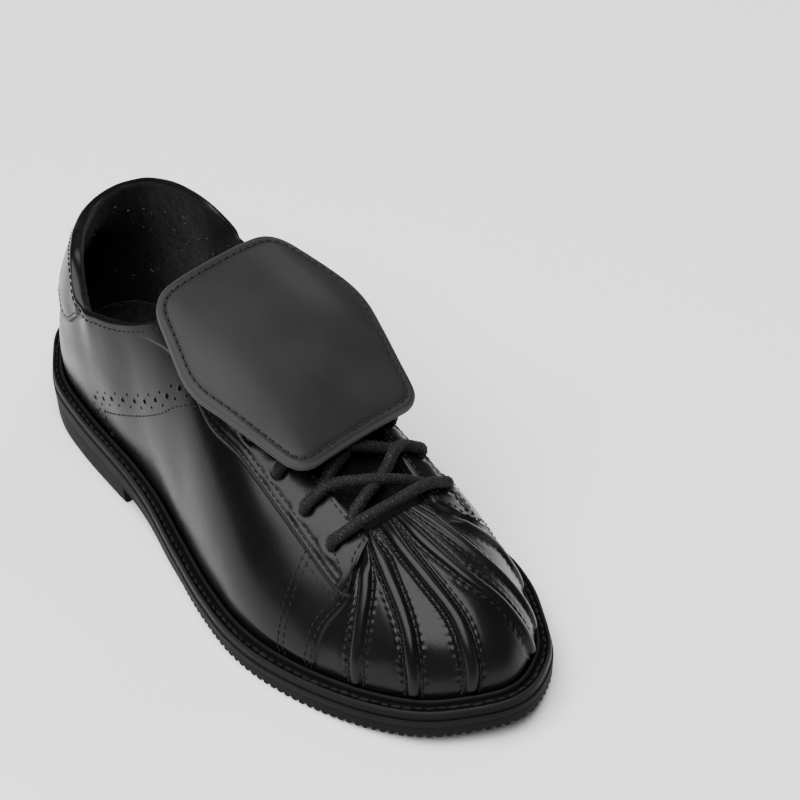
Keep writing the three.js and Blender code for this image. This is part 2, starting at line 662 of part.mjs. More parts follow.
// The tongue lies under both eyestays, from under the throat's front edge up to the flap
function tongue() {
  const clear = (s, w) => inside(s, w, tongueGap);
  const across = [0.28, 0.5, 0.72];
  const rows = [0, 0.2, 0.4, 0.6, 0.8, 1].map((share) => {
    const outerPlace = mix(quarterFront.outer, facingTop, share);
    const innerPlace = 2 - mix(quarterFront.inner, facingTop, share);
    const [left, right] = [clear(outerPlace, 0.965), clear(innerPlace, 0.965)];
    const middle = across.map((at) => left.clone().lerp(right, at)
      .addScaledVector(upward, tongueCrown * 4 * at * (1 - at)));
    const tuck = mix(0.87, 0.95, smooth(0.6, 1, share));
    return [clear(outerPlace, tuck), left, ...middle, right, clear(innerPlace, tuck)];
  });
  const front = [0.775, 0.84, 0.9, 0.98, 1.08, 1.17, 1.24].map((s) => clear(s, 0.9));
  const last = rows.at(-1);
  const top = last.map((point) => {
    const across = 0.75 * (point.y - last[3].y) + tongueOffset;
    return flapPoint(0.06 * flapLength, across, flapThickness + 2 * gap);
  });
  return plate([front, ...rows, top], vector(-0.38, 0, -0.92).multiplyScalar(tongueThickness));
}

// A round cord through points
function cord(points) {
  const circle = new THREE.Shape(new THREE.Path().absarc(0, 0, laceRadius, 0, 2 * Math.PI).getSpacedPoints(8).slice(0, 8));
  const path = new THREE.CatmullRomCurve3(points);
  return new THREE.ExtrudeGeometry(circle, { steps: 12, bevelEnabled: false, extrudePath: path });
}

const onTop = (s, w) => outside(s, w, laceRadius + 2 * gap);

function laceBar() {
  const side = (outerSide) => {
    const { s, w } = eyeletAt(outerSide, 0);
    const seam = outerSide ? quarterFront.outer : 2 - quarterFront.inner;
    return [onTop(s, w), onTop(mix(s, seam, 0.17), mix(w, 0.98, 0.5)), onTop(mix(s, seam, 0.33), 0.98)];
  };
  const [near, far] = [side(true), side(false)];
  const middle = near[2].clone().lerp(far[2], 0.5).addScaledVector(upward, tongueCrown);
  return cord([...near, middle, ...far.reverse()]);
}

// Two cords that cross between one row of eyelets and the row in front of it. The one from the outer side is on top.
function laceCrossing(k) {
  const strand = (outerSide) => {
    const from = eyeletAt(outerSide, k);
    const to = eyeletAt(!outerSide, k - 1);
    const start = onTop(from.s, from.w);
    const goal = onTop(to.s, to.w);
    const lipPlace = mix(from.s, eyeletAt(outerSide, k - 1).s, 0.25);
    const lip = onTop(lipPlace, 0.98);
    const rising = onTop(mix(from.s, lipPlace, 0.5), mix(from.w, 0.98, 0.5));
    const edgeHeight = onTop(mix(to.s, eyeletAt(!outerSide, k).s, 0.25), 1).z;
    const end = start.clone().lerp(goal, 0.6).setZ(edgeHeight - laceRadius / 2);
    const middle = lip.clone().lerp(end, 0.5).addScaledVector(upward, outerSide ? laceRadius / 2 : -laceRadius / 2);
    return cord([start, rising, lip, middle, end]);
  };
  return weld([strand(true), strand(false)]);
}

const pieces = [
  ['outsole', outsole(), colours.rubber],
  ['welt', welt(), colours.rubber],
  ['insole', insole(), colours.lining],
  ['upper', upper(), colours.leather],
  ['tongue', tongue(), colours.leather],
  ['flap', flap(), colours.flapLeather],
  ['lace_bar', laceBar(), colours.cord],
  ['lace_crossing_front', laceCrossing(1), colours.cord],
  ['lace_crossing_middle', laceCrossing(2), colours.cord],
  ['lace_crossing_top', laceCrossing(3), colours.cord],
];

const group = new THREE.Group();
group.name = 'shell_toe_derby_shoe';
for (const [name, geometry, colour] of pieces) {
  geometry.computeVertexNormals();
  const mesh = new THREE.Mesh(geometry, new THREE.MeshStandardMaterial(colour));
  mesh.name = name;
  group.add(mesh);
}

// The origin is the middle of the underside's box
const box = new THREE.Box3().setFromObject(group);
const centre = box.getCenter(vector(0, 0, 0));
for (const mesh of group.children) mesh.geometry.translate(-centre.x, -centre.y, -box.min.z);

export default group;
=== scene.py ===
"""Looks of a right derby shoe with a ribbed shell toe and a leather flap over its laces.

The CAD frame gives the place of every piece. Tables and sizes are in millimetres, with the toe along +X, the
inner side of the foot along +Y and the back of the sole at x = 0. Each mesh is moved into the frame as it is
made. A place on the upper is s, which runs round the sole from 0 at the heel along the outer side to 1 at the
toe and back along the inner side to 2, and w, which rises from 0 at the welt to 1 at the upper edge.
"""
import math

import bmesh
import bpy
import numpy as np
from mathutils import Matrix, Vector


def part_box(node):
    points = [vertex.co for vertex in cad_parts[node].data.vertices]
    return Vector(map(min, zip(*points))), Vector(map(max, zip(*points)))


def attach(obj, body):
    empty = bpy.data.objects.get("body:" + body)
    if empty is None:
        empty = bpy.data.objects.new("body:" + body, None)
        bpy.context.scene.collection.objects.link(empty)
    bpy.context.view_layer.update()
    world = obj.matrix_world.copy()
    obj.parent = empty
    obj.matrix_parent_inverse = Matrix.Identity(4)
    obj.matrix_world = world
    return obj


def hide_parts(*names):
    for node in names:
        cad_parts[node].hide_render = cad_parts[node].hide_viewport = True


bl_info = {
    "name": "Shell toe derby shoe",
    "version": (1, 0, 0),
    "blender": (4, 5, 0),
    "location": "3D View > Sidebar > Shoe",
    "description": "Leather, rubber, laces and stitching over the packed solids of a derby shoe",
    "category": "Add Mesh",
}

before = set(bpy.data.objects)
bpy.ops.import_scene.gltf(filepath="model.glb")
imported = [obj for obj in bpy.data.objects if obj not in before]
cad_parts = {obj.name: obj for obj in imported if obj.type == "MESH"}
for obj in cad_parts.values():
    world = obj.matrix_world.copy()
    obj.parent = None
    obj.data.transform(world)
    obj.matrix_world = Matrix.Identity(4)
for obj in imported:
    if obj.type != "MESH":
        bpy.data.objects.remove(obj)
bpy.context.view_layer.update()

MM = 0.001

# Sole
SOLE_LENGTH = 300.0
BALL_WIDTH = 106.0
HEEL_WIDTH = 74.0
HEEL_HEIGHT = 23.5
SOLE_THICKNESS = 12.0
TOE_LIFT = 6.5
TOE_SPRING = 7.0
HEEL_LENGTH = 100.0
ARCH_END = 152.0
BREAST_HEIGHT = 8.5
BAND_FLARE = 0.5
HEEL_FLARE = 2.5
HEEL_CENTRE = 3.0
FLOOR_BEVEL = 1.6
HEEL_GROOVE_HALF = 1.6
HEEL_GROOVE_DEPTH = 1.1

# Welt
WELT_THICKNESS = 4.0
FORE_WELT = 6.3
HEEL_WELT = 5.3
BEAD_HEIGHT = 1.4
BEAD_REACH = 2.3
RIM_WIDTH = 1.45
CHANNEL_DEPTH = 0.8
TWINE_DEPTH = 0.55
TWINE_SWAY = 0.22
GAP = 0.3

# Upper
INSTEP_HEIGHT = 100.0
WALL = 1.8
COLLAR_PAD = 3.2
FOOT_RISE = 0.6
RIM_RISE = 1.3
STEP_WIDTH = 0.6
QUARTER_STEP = 1.2
EYESTAY_STEP = 1.1
TAB_STEP = 1.8
EDGE_HALF = 0.007

# Eyelets, insole, tongue and flap
EYELET_PITCH = 18.3
EYELET_START = 12.0
EYELET_SETBACK = 13.0
INSOLE_THICKNESS = 5.0
TONGUE_THICKNESS = 2.5
TONGUE_CROWN = 0.5
TONGUE_OFFSET = 3.0
TONGUE_GAP = 0.8
FLAP_LENGTH = 80.0
FLAP_WIDTH = 84.0
FLAP_BACK_WIDTH = 58.0
FLAP_FRONT_WIDTH = 57.0
FLAP_WIDEST = 0.43
FLAP_THICKNESS = 3.4
FLAP_DROOP = 9.5
FLAP_CORNER = 9.0
FLAP_TURN = math.radians(7.5)
FLAP_SEAM = 3.0
FLAP_PITCH = 3.3

# Punched holes, eyelets and laces
LARGE_HOLE = 1.15
SMALL_HOLE = 0.68
HOLE_SPREAD = 2.5
EYELET_RADIUS = 2.3
EYELET_COUNT = 4
CORD_STEP = 0.3
CORD_SIDES = 32
BRAID_PITCH = 3.6

# Stitched lines: distance from the edge or the seam that each follows, and height of the thread's middle
FOLD_ROWS = (1.7, 4.2)
FACING_ROWS = (1.8, 4.4)
TAB_ROW = 2.4
COLLAR_ROW = 3.4
MOUTH_ROW = 2.6
TOE_SEAM_ROWS = (0.0, 2.6)
CORNER_ROW = -3.4
THREAD_LIFT = 0.1
PRICK_LIFT = 0.12

# Camera: turn towards the toe from square on to the outer side, rise and roll in degrees, the point that it
# looks at, and its lens
CAMERA_ANGLES = (58.23, 37.64, -4.76)
CAMERA_TARGET = (139.32, 67.0, 21.75)
CAMERA_DISTANCE = 968.91
CAMERA_LENS = 108.89
SENSOR_WIDTH = 36.0

# Studio: floor in m, and each light's name, place, width and height in m, and power in W
FLOOR_HALF = 6.0
SKY_COLOUR = (0.9, 0.93, 1.0, 1.0)
SKY_STRENGTH = 0.09
SOFTBOXES = (
    ("overhead_softbox", (0.3, -0.75, 2.2), 2.6, 2.4, 168.0),
    ("back_softbox", (-0.6, 1.5, 1.6), 1.0, 0.8, 14.0),
)

# Outline of the sole: share of the length, and the edge's distance from the long axis on the outer and the
# inner side as a share of the sole's width there
OUTLINE_TIP = 0.061
OUTLINE_ROWS = (
    (0.027, 0.25, 0.325), (0.067, 0.365, 0.42), (0.133, 0.493, 0.462), (0.217, 0.54, 0.453),
    (0.3, 0.541, 0.4), (0.4, 0.483, 0.323), (0.5, 0.472, 0.319), (0.6, 0.492, 0.381),
    (0.667, 0.509, 0.44), (0.717, 0.5, 0.472), (0.767, 0.47, 0.489), (0.833, 0.41, 0.458),
    (0.9, 0.323, 0.378), (0.95, 0.22, 0.297), (0.983, 0.084, 0.195),
)

# Top of the sole: share of the length, share of the heel's extra height
LIFT_ROWS = (
    (0, 1), (0.13, 0.97), (0.25, 0.87), (0.333, 0.74), (0.4, 0.38), (0.467, 0.13), (0.533, 0), (0.7, 0),
    (1, 0),
)

# Underside of the waist: share of the way from the heel's breast to the arch's end, share of the breast's
# height
ARCH_ROWS = ((0.02, 1), (0.2, 0.84), (0.45, 0.52), (0.72, 0.2), (1, 0))

# Sections of the upper, once round the foot, as in the solid
SECTION_NAMES = ("s", "top_x", "top_y", "top_z", "lean", "rise", "reach", "fall", "edge")
SECTION_ROWS = (
    (0, 0.076, 0.095, 0.88, 0.014, 0.26, 0.024, -0.2, 0.585),
    (0.1, 0.095, -0.047, 0.88, 0.014, 0.26, 0.033, -0.18, 0.58),
    (0.18, 0.125, -0.155, 0.895, 0.019, 0.26, 0.052, -0.17, 0.57),
    (0.25, 0.165, -0.264, 0.915, 0.019, 0.27, 0.085, -0.16, 0.56),
    (0.31, 0.213, -0.378, 0.9, 0.019, 0.27, 0.075, -0.18, 0.6),
    (0.345, 0.257, -0.477, 0.81, 0.009, 0.26, 0.009, -0.2, 0.92),
    (0.385, 0.293, -0.456, 0.815, 0.009, 0.26, 0.019, -0.18, 0.93),
    (0.42, 0.332, -0.406, 0.84, 0.009, 0.26, 0.038, -0.16, 0.93),
    (0.45, 0.367, -0.352, 0.88, 0.009, 0.27, 0.066, -0.16, 0.92),
    (0.475, 0.397, -0.284, 0.925, 0.009, 0.27, 0.094, -0.14, 0.86),
    (0.5, 0.427, -0.188, 0.975, 0.009, 0.28, 0.132, -0.1, 0.74),
    (0.54, 0.5, -0.12, 0.875, 0.009, 0.28, 0.189, -0.09, 0.665),
    (0.58, 0.567, -0.1, 0.778, 0.009, 0.27, 0.208, -0.085, 0.707),
    (0.62, 0.633, -0.09, 0.692, 0.009, 0.24, 0.208, -0.085, 0.707),
    (0.66, 0.7, -0.085, 0.615, 0.009, 0.2, 0.189, -0.09, 0.687),
    (0.712, 0.783, -0.077, 0.54, 0.009, 0.15, 0.132, -0.09, 0.612),
    (0.76, 0.773, -0.074, 0.56, 0.014, 0.15, 0.132, -0.05, 0.6),
    (0.837, 0.773, -0.052, 0.566, 0.019, 0.155, 0.16, -0.03, 0.6),
    (0.91, 0.773, -0.003, 0.571, 0.019, 0.17, 0.208, -0.02, 0.6),
    (1, 0.773, 0.038, 0.577, 0.019, 0.18, 0.245, -0.02, 0.6),
    (1.11, 0.771, 0.075, 0.572, 0.019, 0.18, 0.208, -0.02, 0.6),
    (1.18, 0.77, 0.123, 0.565, 0.019, 0.16, 0.17, -0.04, 0.6),
    (1.256, 0.769, 0.16, 0.558, 0.014, 0.15, 0.142, -0.06, 0.6),
    (1.305, 0.778, 0.175, 0.54, 0.009, 0.15, 0.132, -0.09, 0.612),
    (1.34, 0.7, 0.182, 0.615, 0.009, 0.2, 0.17, -0.085, 0.687),
    (1.38, 0.633, 0.179, 0.692, 0.009, 0.24, 0.17, -0.085, 0.707),
    (1.42, 0.567, 0.176, 0.778, 0.009, 0.27, 0.151, -0.085, 0.707),
    (1.46, 0.5, 0.186, 0.875, 0.009, 0.28, 0.132, -0.09, 0.665),
    (1.5, 0.427, 0.244, 0.975, 0.009, 0.28, 0.104, -0.1, 0.74),
    (1.525, 0.397, 0.325, 0.925, 0.009, 0.27, 0.075, -0.14, 0.86),
    (1.55, 0.367, 0.389, 0.88, 0.009, 0.27, 0.038, -0.16, 0.92),
    (1.58, 0.332, 0.446, 0.85, 0.009, 0.26, 0.019, -0.16, 0.93),
    (1.615, 0.293, 0.491, 0.825, 0.009, 0.26, 0.009, -0.18, 0.93),
    (1.655, 0.257, 0.507, 0.815, 0.009, 0.26, 0, -0.2, 0.92),
    (1.69, 0.217, 0.453, 0.9, 0.019, 0.27, 0, -0.26, 0.6),
    (1.75, 0.155, 0.405, 0.925, 0.019, 0.27, 0.024, -0.2, 0.56),
    (1.82, 0.103, 0.338, 0.91, 0.014, 0.26, 0.024, -0.2, 0.57),
    (1.9, 0.078, 0.236, 0.89, 0.014, 0.26, 0.024, -0.2, 0.58),
)

# Middle line of the flap: share of its length from the back, share of the instep height
FLAP_ROWS = ((0, 1.154), (0.43, 1.035), (1, 0.762))
FLAP_BACK = (0.426, -0.02)

# Places round the sole
OUTER_FRONT = 0.712
INNER_FRONT = 0.695
FACING_TOP = 0.5
NOTCH = 0.345
TOE_SEAM_OUTER = 0.668
TOE_SEAM_INNER = 1.345

# Course of each rib from the welt to the throat: place round the sole at each share of the section
RIB_SHARES = (0.0, 0.25, 0.45, 0.65, 0.82, 0.98)
RIB_COURSES = (
    (0.761, 0.763, 0.767, 0.773, 0.766, 0.752),
    (0.835, 0.843, 0.849, 0.841, 0.822, 0.787),
    (0.911, 0.928, 0.938, 0.922, 0.906, 0.9),
    (1.11, 1.102, 1.083, 1.042, 1.016, 1.012),
    (1.172, 1.17, 1.166, 1.155, 1.151, 1.152),
    (1.25, 1.252, 1.256, 1.238, 1.216, 1.206),
)

# The quarter's folded front edge swings forward at its corner: middle, half height and reach of the swing
FRONT_SWING = (0.66, 0.17, 0.026)

# Stitched edge of the punched panel behind the quarter, down from its corner and forward to the flap, and
# the row of its large holes: place round the sole and share of the section
PANEL_DOWN = ((0.356, 0.163), (0.355, 0.1), (0.357, 0.05), (0.362, 0.02))
PANEL_FORWARD = (
    (0.356, 0.163), (0.385, 0.252), (0.41, 0.342), (0.436, 0.43), (0.463, 0.503), (0.485, 0.544),
    (0.503, 0.573), (0.524, 0.655),
)
HOLES_DOWN = ((0.339, 0.2), (0.338, 0.12), (0.34, 0.045))
HOLES_FORWARD = (
    (0.339, 0.2), (0.361, 0.281), (0.385, 0.363), (0.419, 0.465), (0.448, 0.54), (0.47, 0.583),
    (0.491, 0.611), (0.514, 0.669),
)

# Distance between the stitches beside a rib, each in a pucker
PUCKER_PITCH = 3.1

# Soft troughs and ridges pressed by hand and last: place and share at both ends, half width and rise in mm
CREASES = (
    (0.44, 0.72, 0.5, 0.3, 11.0, -0.3),
    (0.53, 0.6, 0.6, 0.12, 12.0, 0.3),
    (0.36, 0.8, 0.42, 0.5, 9.0, -0.25),
    (0.26, 0.3, 0.34, 0.42, 9.0, 0.25),
    (0.63, 0.5, 0.67, 0.2, 8.0, -0.25),
    (0.74, 0.2, 0.82, 0.3, 5.0, 0.35),
    (0.87, 0.35, 0.98, 0.3, 7.0, 0.5),
    (1.03, 0.45, 1.1, 0.4, 8.0, 0.45),
    (1.22, 0.25, 1.3, 0.35, 6.0, -0.4),
    (1.42, 0.4, 1.52, 0.62, 9.0, -0.7),
    (1.6, 0.6, 1.68, 0.35, 8.0, 0.5),
    (1.3, 0.75, 1.36, 0.6, 4.0, -0.35),
    (0.66, 0.86, 0.7, 0.97, 3.0, -0.3),
)


def smooth(low, high, value):
    """Share of the way from low to high, eased at both ends."""
    share = np.clip((value - low) / (high - low), 0.0, 1.0)
    return share * share * (3.0 - 2.0 * share)


def mix(start, end, share):
    """The value at a share of the way from start to end."""
    return start + (end - start) * share


def unit(vectors):
    """The same directions, each 1 long."""
    return vectors / np.maximum(np.linalg.norm(vectors, axis=-1, keepdims=True), 1e-9)


def bell(distance, half):
    """1 at no distance, fading softly over half a width."""
    return np.exp(-((distance / half) ** 2))


def travelled(line):
    """Distance along a line of points from its start to each of them."""
    return np.concatenate(([0], np.cumsum(np.linalg.norm(np.diff(line, axis=0), axis=1))))


class TableCurve:
    """A smooth curve through the values of a table. With a period it closes on itself."""

    def __init__(self, knots, values, period=0.0):
        knots = [float(knot) for knot in knots]
        values = [float(value) for value in values]
        self.start = knots[0]
        self.period = period
        if period:
            knots = [knots[-1] - period, *knots, knots[0] + period, knots[1] + period]
            values = [values[-1], *values, values[0], values[1]]
        self.knots = np.array(knots)
        self.values = np.array(values)
        steps = np.diff(self.knots)
        rates = np.diff(self.values) / steps
        inner = (rates[:-1] * steps[1:] + rates[1:] * steps[:-1]) / (steps[:-1] + steps[1:])
        self.slopes = np.concatenate(([rates[0]], inner, [rates[-1]]))

    def __call__(self, place):
        at = np.asarray(place, float)
        if self.period:
            at = np.mod(at - self.start, self.period) + self.start
        first = np.clip(np.searchsorted(self.knots, at, side="right") - 1, 0, len(self.knots) - 2)
        step = self.knots[first + 1] - self.knots[first]
        u = np.clip((at - self.knots[first]) / step, 0.0, 1.0)
        near = 2 * u ** 3 - 3 * u ** 2 + 1
        leaving = self.slopes[first] * (u ** 3 - 2 * u ** 2 + u)
        arriving = self.slopes[first + 1] * (u ** 3 - u ** 2)
        return near * self.values[first] + (1 - near) * self.values[first + 1] + step * (leaving + arriving)


def width_at(share):
    """Width that the sole's outline is drawn from, at a share of its length."""
    return mix(HEEL_WIDTH, BALL_WIDTH, smooth(0.25, 0.6, share))


def place_of(share):
    """Place round the outer side of a share of the length."""
    return math.acos(1 - 2 * share) / math.pi


outer_edge = [(place_of(at), -outer * width_at(at)) for at, outer, inner in OUTLINE_ROWS]
inner_edge = [(2 - place_of(at), inner * width_at(at)) for at, outer, inner in reversed(OUTLINE_ROWS)]
edge_knots = [(0.0, HEEL_CENTRE), *outer_edge, (1.0, OUTLINE_TIP * BALL_WIDTH), *inner_edge]
edge_y = TableCurve(*zip(*edge_knots), period=2.0)
lift_at = TableCurve(*zip(*LIFT_ROWS))
section_columns = dict(zip(SECTION_NAMES, zip(*SECTION_ROWS)))
section_curves = {
    name: TableCurve(section_columns["s"], column, period=2.0)
    for name, column in section_columns.items() if name != "s"
}
flap_spine = TableCurve(*zip(*FLAP_ROWS))


def points(x, y, z):
    """Points from their coordinates, which may be arrays or single numbers."""
    return np.stack(np.broadcast_arrays(x, y, z), axis=-1).astype(float)


def outline(s):
    """Points of the sole's top edge, at height 0."""
    s = np.asarray(s, float)
    return points(SOLE_LENGTH / 2 * (1 - np.cos(np.pi * s)), edge_y(s), 0.0)


def outward(s):
    """Level directions that point away from the sole's edge."""
    along = unit(outline(np.asarray(s) + 1e-3) - outline(np.asarray(s) - 1e-3))
    return points(along[..., 1], -along[..., 0], 0.0)


def top_height(x):
    """Height of the welt's upper face."""
    share = np.clip(x / SOLE_LENGTH, 0.0, 1.0)
    toe = np.maximum(share - 0.72, 0) / 0.28
    return SOLE_THICKNESS + (HEEL_HEIGHT - SOLE_THICKNESS) * lift_at(share) + TOE_LIFT * toe ** 1.8


def seat_height(x):
    """Height of the outsole's upper face."""
    return top_height(x) - WELT_THICKNESS


def floor_height(x):
    """Height of the sole's underside, which springs up at the toe."""
    return TOE_SPRING * np.maximum((x / SOLE_LENGTH - 0.75) / 0.25, 0) ** 2


def welt_at(x):
    """How far the welt stands out beyond the upper."""
    return mix(HEEL_WELT, FORE_WELT, smooth(0.25, 0.5, x / SOLE_LENGTH))


def section_at(s):
    """The four control points of the upper's section at a place."""
    at = {name: curve(s) for name, curve in section_curves.items()}
    edge = outline(s)
    out = outward(s)
    foot = edge - out * welt_at(edge[..., 0])[..., None]
    foot[..., 2] = top_height(edge[..., 0]) + FOOT_RISE
    top_width = width_at(at["top_x"])
    top = points(at["top_x"] * SOLE_LENGTH, at["top_y"] * top_width, at["top_z"] * INSTEP_HEIGHT)
    away = foot - top
    away[..., 2] = 0.0
    far = smooth(4.0, 16.0, np.linalg.norm(away, axis=-1))[..., None]
    away = unit(unit(away) * far + out * (1 - far))
    low = foot + out * (at["lean"] * BALL_WIDTH)[..., None]
    low[..., 2] += at["rise"] * INSTEP_HEIGHT
    high = top + away * (at["reach"] * BALL_WIDTH)[..., None]
    high[..., 2] += at["fall"] * INSTEP_HEIGHT
    return foot, low, high, top


def surface(s, w):
    """Points of the upper's own surface, for places s and shares w of the section."""
    foot, low, high, top = section_at(np.asarray(s, float))
    w = np.clip(np.asarray(w, float), 0.0, 1.0)[..., None]
    v = 1 - w
    return v ** 3 * foot + 3 * v * v * w * low + 3 * v * w * w * high + w ** 3 * top


def normal(s, w):
    """Outward directions of the upper's own surface."""
    along = surface(s + 0.008, w) - surface(s - 0.008, w)
    up = surface(s, w + 0.02) - surface(s, w - 0.02)
    return unit(np.cross(along, up))


def side_of(s):
    """Place counted from the heel on its own side."""
    s = np.mod(s, 2.0)
    return np.where(s <= 1, s, 2 - s)


def speed_at(s, w):
    """Distance over the surface, in mm, for one whole step of s."""
    return np.linalg.norm(surface(s + 0.004, w) - surface(s - 0.004, w), axis=-1) / 0.008


def step_at(s, w):
    """Thickness that the quarters, the eyestays and the heel tab add to the wall."""
    s, w = np.broadcast_arrays(np.mod(s, 2.0), w)
    side = side_of(s)
    front = front_at(s <= 1, w)
    half = np.minimum(STEP_WIDTH / speed_at(np.where(s <= 1, front, 2 - front), w), 0.004)
    over = 1 - smooth(-1.0, 1.0, (side - front) / half)
    above = smooth(-1.0, 1.0, (w - section_curves["edge"](s)) / EDGE_HALF)
    tab = TAB_STEP * (1 - smooth(NOTCH - 0.012, NOTCH, side)) * above
    eyestay = EYESTAY_STEP * smooth(FACING_TOP - 0.05, FACING_TOP, side) * above
    quarter = QUARTER_STEP * smooth(front - 0.12, front - 0.03, side) * smooth(0.02, 0.1, w)
    return (tab + eyestay + quarter) * over


def pad_at(s, w):
    """Padding inside the collar."""
    round_collar = 1 - smooth(FACING_TOP - 0.08, FACING_TOP - 0.01, side_of(s))
    return COLLAR_PAD * round_collar * smooth(0.45, 0.75, w) * (1 - 0.6 * smooth(0.85, 1.0, w))


def outside(s, w, more=0.0):
    """Points of the upper's outer face, raised by a further distance."""
    return surface(s, w) + normal(s, w) * (step_at(s, w) + more)[..., None]


def inside(s, w, more=0.0):
    """Points of the upper's inner face, sunk by a further distance."""
    return surface(s, w) - normal(s, w) * (WALL + pad_at(s, w) + more)[..., None]


rib_curves = [TableCurve(RIB_SHARES, course) for course in RIB_COURSES]


def rib_half(index, w, width):
    """Half of a rib's width, as a share of the way round the sole."""
    place = rib_curves[index](w)
    near = np.min([np.abs(curve(w) - place) for i, curve in enumerate(rib_curves) if i != index], axis=0)
    return np.minimum(width / 2 / speed_at(place, w), 0.4 * near)


def rib_fade(index, w):
    """Share of its full height that a rib has along its course."""
    if index in (0, len(RIB_COURSES) - 1):
        top = 1 - smooth(0.68, 0.8, w)
    else:
        top = 1 - 0.35 * smooth(0.85, 0.98, w)
    return smooth(0.02, 0.06, w) * top


def rib_reach(index, w):
    """Distance in mm along a rib from the welt."""
    shares = np.linspace(0, 1, 60)
    return np.interp(w, shares, travelled(surface(rib_curves[index](shares), shares)))


def front_at(outer_side, w):
    """Place of the quarter's folded front edge, counted from the heel on its own side."""
    middle, half, reach = FRONT_SWING
    return np.where(outer_side, OUTER_FRONT, INNER_FRONT) + reach * bell(w - middle, half)


def surface_path(course, spacing):
    """Places and shares evenly spaced along a smooth course over the surface."""
    course = np.array(course, float)
    reach = travelled(surface(course[:, 0], course[:, 1]))
    fine = np.linspace(0, reach[-1], 300)
    s = TableCurve(reach, course[:, 0])(fine)
    w = TableCurve(reach, course[:, 1])(fine)
    gone = travelled(surface(s, w))
    even = np.arange(0, gone[-1], spacing)
    return np.interp(even, gone, s), np.interp(even, gone, w)


def shifted(s, w, offset):
    """Places and shares moved sideways over the surface by an offset in mm."""
    across = unit(np.cross(normal(s, w), tangents(surface(s, w)))) * offset
    round_way = (surface(s + 0.002, w) - surface(s - 0.002, w)) / 0.004
    up_way = (surface(s, w + 0.01) - surface(s, w - 0.01)) / 0.02
    round_square = (round_way * round_way).sum(-1)
    both = (round_way * up_way).sum(-1)
    up_square = (up_way * up_way).sum(-1)
    round_part = (round_way * across).sum(-1)
    up_part = (up_way * across).sum(-1)
    whole = round_square * up_square - both * both
    new_s = s + (up_square * round_part - both * up_part) / whole
    new_w = w + (round_square * up_part - both * round_part) / whole
    return new_s, new_w


def hole_row(course, pitch, start, offset):
    """Places and shares of a row of holes beside a course."""
    spacing = 0.5
    s, w = shifted(*surface_path(course, spacing), offset)
    gone = np.arange(len(s)) * spacing
    at = np.arange(start, gone[-1], pitch)
    return np.interp(at, gone, s), np.interp(at, gone, w)


def eyelet_at(outer_side, k):
    """Place and share of an eyelet, counted from the throat."""
    seam = OUTER_FRONT if outer_side else 2 - INNER_FRONT
    s = seam + (-1 if outer_side else 1) * np.linspace(0, 0.2, 801)
    gone = travelled(surface(s, np.ones_like(s)))
    place = float(np.interp(EYELET_START + k * EYELET_PITCH, gone, s))
    w = np.linspace(1, 0.5, 401)
    gone = travelled(surface(np.full_like(w, place), w))
    return place, float(np.interp(EYELET_SETBACK, gone, w))


def even_path(knots, spacing):
    """Evenly spaced points on a smooth curve through knots."""
    knots = np.asarray(knots, float)
    reach = travelled(knots)
    fine = np.linspace(0, reach[-1], max(8 * len(knots), int(reach[-1] / spacing * 4)))
    curve = np.stack([TableCurve(reach, knots[:, axis])(fine) for axis in range(3)], axis=1)
    gone = travelled(curve)
    even = np.linspace(0, gone[-1], max(2, round(gone[-1] / spacing) + 1))
    return np.stack([np.interp(even, gone, curve[:, axis]) for axis in range(3)], axis=1)


sole_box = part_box("outsole")
edge_span = edge_y(np.linspace(0, 2, 2001))
FRAME_SHIFT = np.array([
    (sole_box[0].x + sole_box[1].x) / 2 / MM - (SOLE_LENGTH / 2 + 0.5 * (BAND_FLARE - HEEL_FLARE)),
    (sole_box[0].y + sole_box[1].y) / 2 / MM - (edge_span.max() + edge_span.min()) / 2,
    0.0,
])


def framed(spots):
    """Points of the shoe in millimetres, as places in the CAD frame in metres."""
    return (np.asarray(spots, float) + FRAME_SHIFT) * MM


def ring_indices(rows, columns, closed_rows):
    """Quads between rows of a grid whose columns close on themselves."""
    last = rows if closed_rows else rows - 1
    row = np.arange(last)[:, None]
    column = np.arange(columns)[None, :]
    after = (row + 1) % rows
    beside = (column + 1) % columns
    quads = np.stack(np.broadcast_arrays(row * columns + column, row * columns + beside,
                                         after * columns + beside, after * columns + column), axis=-1)
    return quads.reshape(-1, 4)


def new_piece(name, spots, faces, materials, indices=None):
    """An object from points of the shoe in millimetres."""
    mesh = bpy.data.meshes.new(name)
    mesh.from_pydata(framed(spots).tolist(), [], [list(face) for face in faces])
    for material in materials:
        mesh.materials.append(material)
    if indices is not None:
        mesh.polygons.foreach_set("material_index", np.asarray(indices, np.int32))
    mesh.shade_smooth()
    mesh.update()
    piece = bpy.data.objects.new(name, mesh)
    bpy.context.scene.collection.objects.link(piece)
    return piece


def mark(piece, name, values):
    """A number on each point of a piece, which its material reads."""
    attribute = piece.data.attributes.new(name, "FLOAT", "POINT")
    attribute.data.foreach_set("value", np.asarray(values, np.float32).ravel())


def turned_outward(piece):
    """Turns every face of a closed piece to the outside."""
    shape = bmesh.new()
    shape.from_mesh(piece.data)
    bmesh.ops.recalc_face_normals(shape, faces=shape.faces)
    shape.to_mesh(piece.data)
    shape.free()


def settle(piece, slot, *nodes):
    """Fixes a finished piece to the shoe."""
    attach(piece, "root")
    if nodes:
        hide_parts(*nodes)


